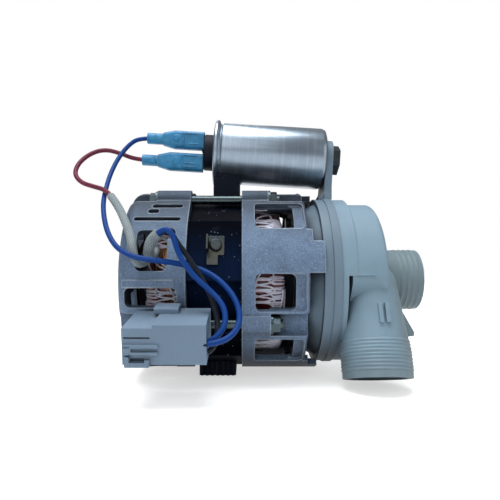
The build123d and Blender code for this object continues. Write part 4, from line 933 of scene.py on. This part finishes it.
def padGrid(halfLength, halfWidth):
    # a low pad: rings of a superellipse of power 4 (2 for a round one) that shrink to a pole on
    # top and on the underside; the top swells as the square root of 1 - share ** 3
    power = 2.0 if abs(halfLength - halfWidth) < 0.01 else 4.0
    turn = turnAngles(markSeat["sides"])
    share = np.array([0.02, 0.35, 0.6, 0.8, 0.92, 0.98, 1.0])
    lift = np.concatenate([markSeat["height"] * np.sqrt(1 - share ** 3),
                           np.full(len(share), -markSeat["root"])])[:, None]
    share = np.concatenate([share, share[::-1]])[:, None]
    x = boxWave(np.cos(turn), power) * halfLength * share
    z = boxWave(np.sin(turn), power) * halfWidth * share
    return np.stack(np.broadcast_arrays(x, -lift, z), -1)


def makeSleeveMarks(name, facts):
    # pads on the front and back of a sleeve, turned with the capacitor:
    # x' = -x cos + z sin, z' = x sin + z cos
    lean = radians(canAxes["tilt"])
    points, faces, start = [], [], 0
    for along, rise, halfLength, halfWidth in facts["marks"]:
        face = markSeat["face"] * (1.0 if along < markSeat["neckFrom"] else markSeat["neckFace"])
        for front in (1, -1):
            grid = padGrid(halfLength, halfWidth)
            x, y, z = grid.reshape(-1, 3).T
            x = along + x
            y = (y - (face - markSeat["sink"])) * front
            z = facts["middle"] + rise + z
            turned = np.stack([-x * cos(lean) + z * sin(lean), y, x * sin(lean) + z * cos(lean)], -1)
            points.append((turned + canAxes["origin"]) * mm)
            faces.append(outward(points[-1], gridFaces(*grid.shape[:2], True)) + start)
            start += len(points[-1])
    makePiece(name, np.concatenate(points), np.concatenate(faces), "sleeve")


for name, facts in sleeveMarks.items():
    makeSleeveMarks(name, facts)
print("sleeves embossed")


# dressed copies of the rigid nodes that are seen, with the width of each one's bevels
dressing = {
    "left_end_bracket": 0.45, "right_end_bracket": 0.45, "pump_volute": 0.4, "pump_rear_housing": 0.4,
    "connector_body": 0.3, "rubber_foot": 0.3, "capacitor_pad": 0.4, "upper_faston_sleeve": 0.25,
    "lower_faston_sleeve": 0.25, "capacitor_can": 0.2, "capacitor_base": 0.3, "stator_stack": 0.25,
    "earth_tab": 0.12, "earth_screw": 0.15, "bolt_nuts": 0.15, "through_bolts": 0.12,
    "capacitor_nut": 0.25}
dressMesh = {"joinWithin": 2e-6, "flatWithin": 0.6, "segments": 2, "bevelFrom": 38}


def dressNode(name, width):
    # the node's own shape, its triangles joined and its sharp edges rounded by a small bevel
    node = nodes[name]
    mesh = node.data.copy()
    mesh.name = name + "Dressed"
    work = bmesh.new()
    work.from_mesh(mesh)
    bmesh.ops.remove_doubles(work, verts=work.verts, dist=dressMesh["joinWithin"])
    bmesh.ops.dissolve_limit(work, angle_limit=radians(dressMesh["flatWithin"]), verts=work.verts,
                             edges=work.edges, delimit={"NORMAL"})
    work.to_mesh(mesh)
    work.free()
    mesh.polygons.foreach_set("use_smooth", np.full(len(mesh.polygons), True))
    piece = bpy.data.objects.new(name + "Dressed", mesh)
    scene.collection.objects.link(piece)
    roundEdges(piece, width, dressMesh["segments"], dressMesh["bevelFrom"])
    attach(piece, node["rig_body"])
    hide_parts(name)
    return piece


dressed = {name: dressNode(name, width) for name, width in dressing.items()}
print("edges rounded")


# floor, lamps and backdrop
studio = {"floorTone": (0.80, 0.80, 0.80), "floorHalf": 3.0, "floorGap": 0.0001, "floorGlow": 0.55,
          "farGlow": 0.95, "glowRise": (0.09, 0.9), "world": 0.26, "aim": (-0.08, 0.0, 0.0),
          "lamps": [("overhead", (-0.16, -0.10, 0.72), 0.55, 7.0), ("front", (-0.35, -1.0, 0.55), 0.8, 3.3),
                    ("side", (0.75, -0.45, 0.35), 0.6, 1.6), ("behind", (-0.4, 0.9, 0.55), 0.8, 2.6)]}


def paleFloor(tone, nearGlow, farGlow, rise):
    # pale paper that glows only for rays that show it, more so away from the pump: the glow rises
    # with x * x + y * y between the two values of rise
    look = Look("paleFloor", Roughness=0.85)
    x, y, z = look.axes()
    away = (x * x + y * y).ramp(*rise)
    look.set(Base_Color=look.mix(look.noise(60, 3) * 0.2, tone, times(tone, 0.96)),
             Emission_Color=look.mix(away, (nearGlow,) * 3, (farGlow,) * 3),
             Emission_Strength=look.seenBy("Camera", "Glossy", "Transmission"))
    return look.mat


def makeStudio(facts):
    # a large pale sheet under the foot, a white world and four soft square lamps that face the pump
    half = facts["floorHalf"]
    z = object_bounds()[0][2] - facts["floorGap"]
    mesh = bpy.data.meshes.new("floor")
    mesh.from_pydata([(-half, -half, z), (half, -half, z), (half, half, z), (-half, half, z)], [],
                     [(0, 1, 2, 3)])
    mesh.materials.append(paleFloor(facts["floorTone"], facts["floorGlow"], facts["farGlow"],
                                    facts["glowRise"]))
    floor = bpy.data.objects.new("floor", mesh)
    scene.collection.objects.link(floor)
    floor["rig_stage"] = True
    scene.world = bpy.data.worlds.new("studio")
    scene.world.use_nodes = True
    sky = NodeTree(scene.world.node_tree)
    strength = sky.seenBy("Camera", "Transmission") * (1.0 - facts["world"]) + facts["world"]
    white = sky.add("Background", sockets={"Color": (1.0, 1.0, 1.0), "Strength": strength})
    sky.add("OutputWorld", sockets={0: white})
    for name, place, size, power in facts["lamps"]:
        lamp = bpy.data.lights.new(name, "AREA")
        lamp.size = size
        lamp.energy = power
        holder = bpy.data.objects.new(name, lamp)
        holder.location = place
        holder.rotation_euler = (Vector(facts["aim"]) - Vector(place)).to_track_quat("-Z", "Y").to_euler()
        scene.collection.objects.link(holder)


makeStudio(studio)
scene.view_settings.view_transform = "Standard"
print("studio lit")


plug = [dressed["connector_body"], nodes["connector_terminals"], trimPiece]
plug + [made["sleeveShort"][0]]
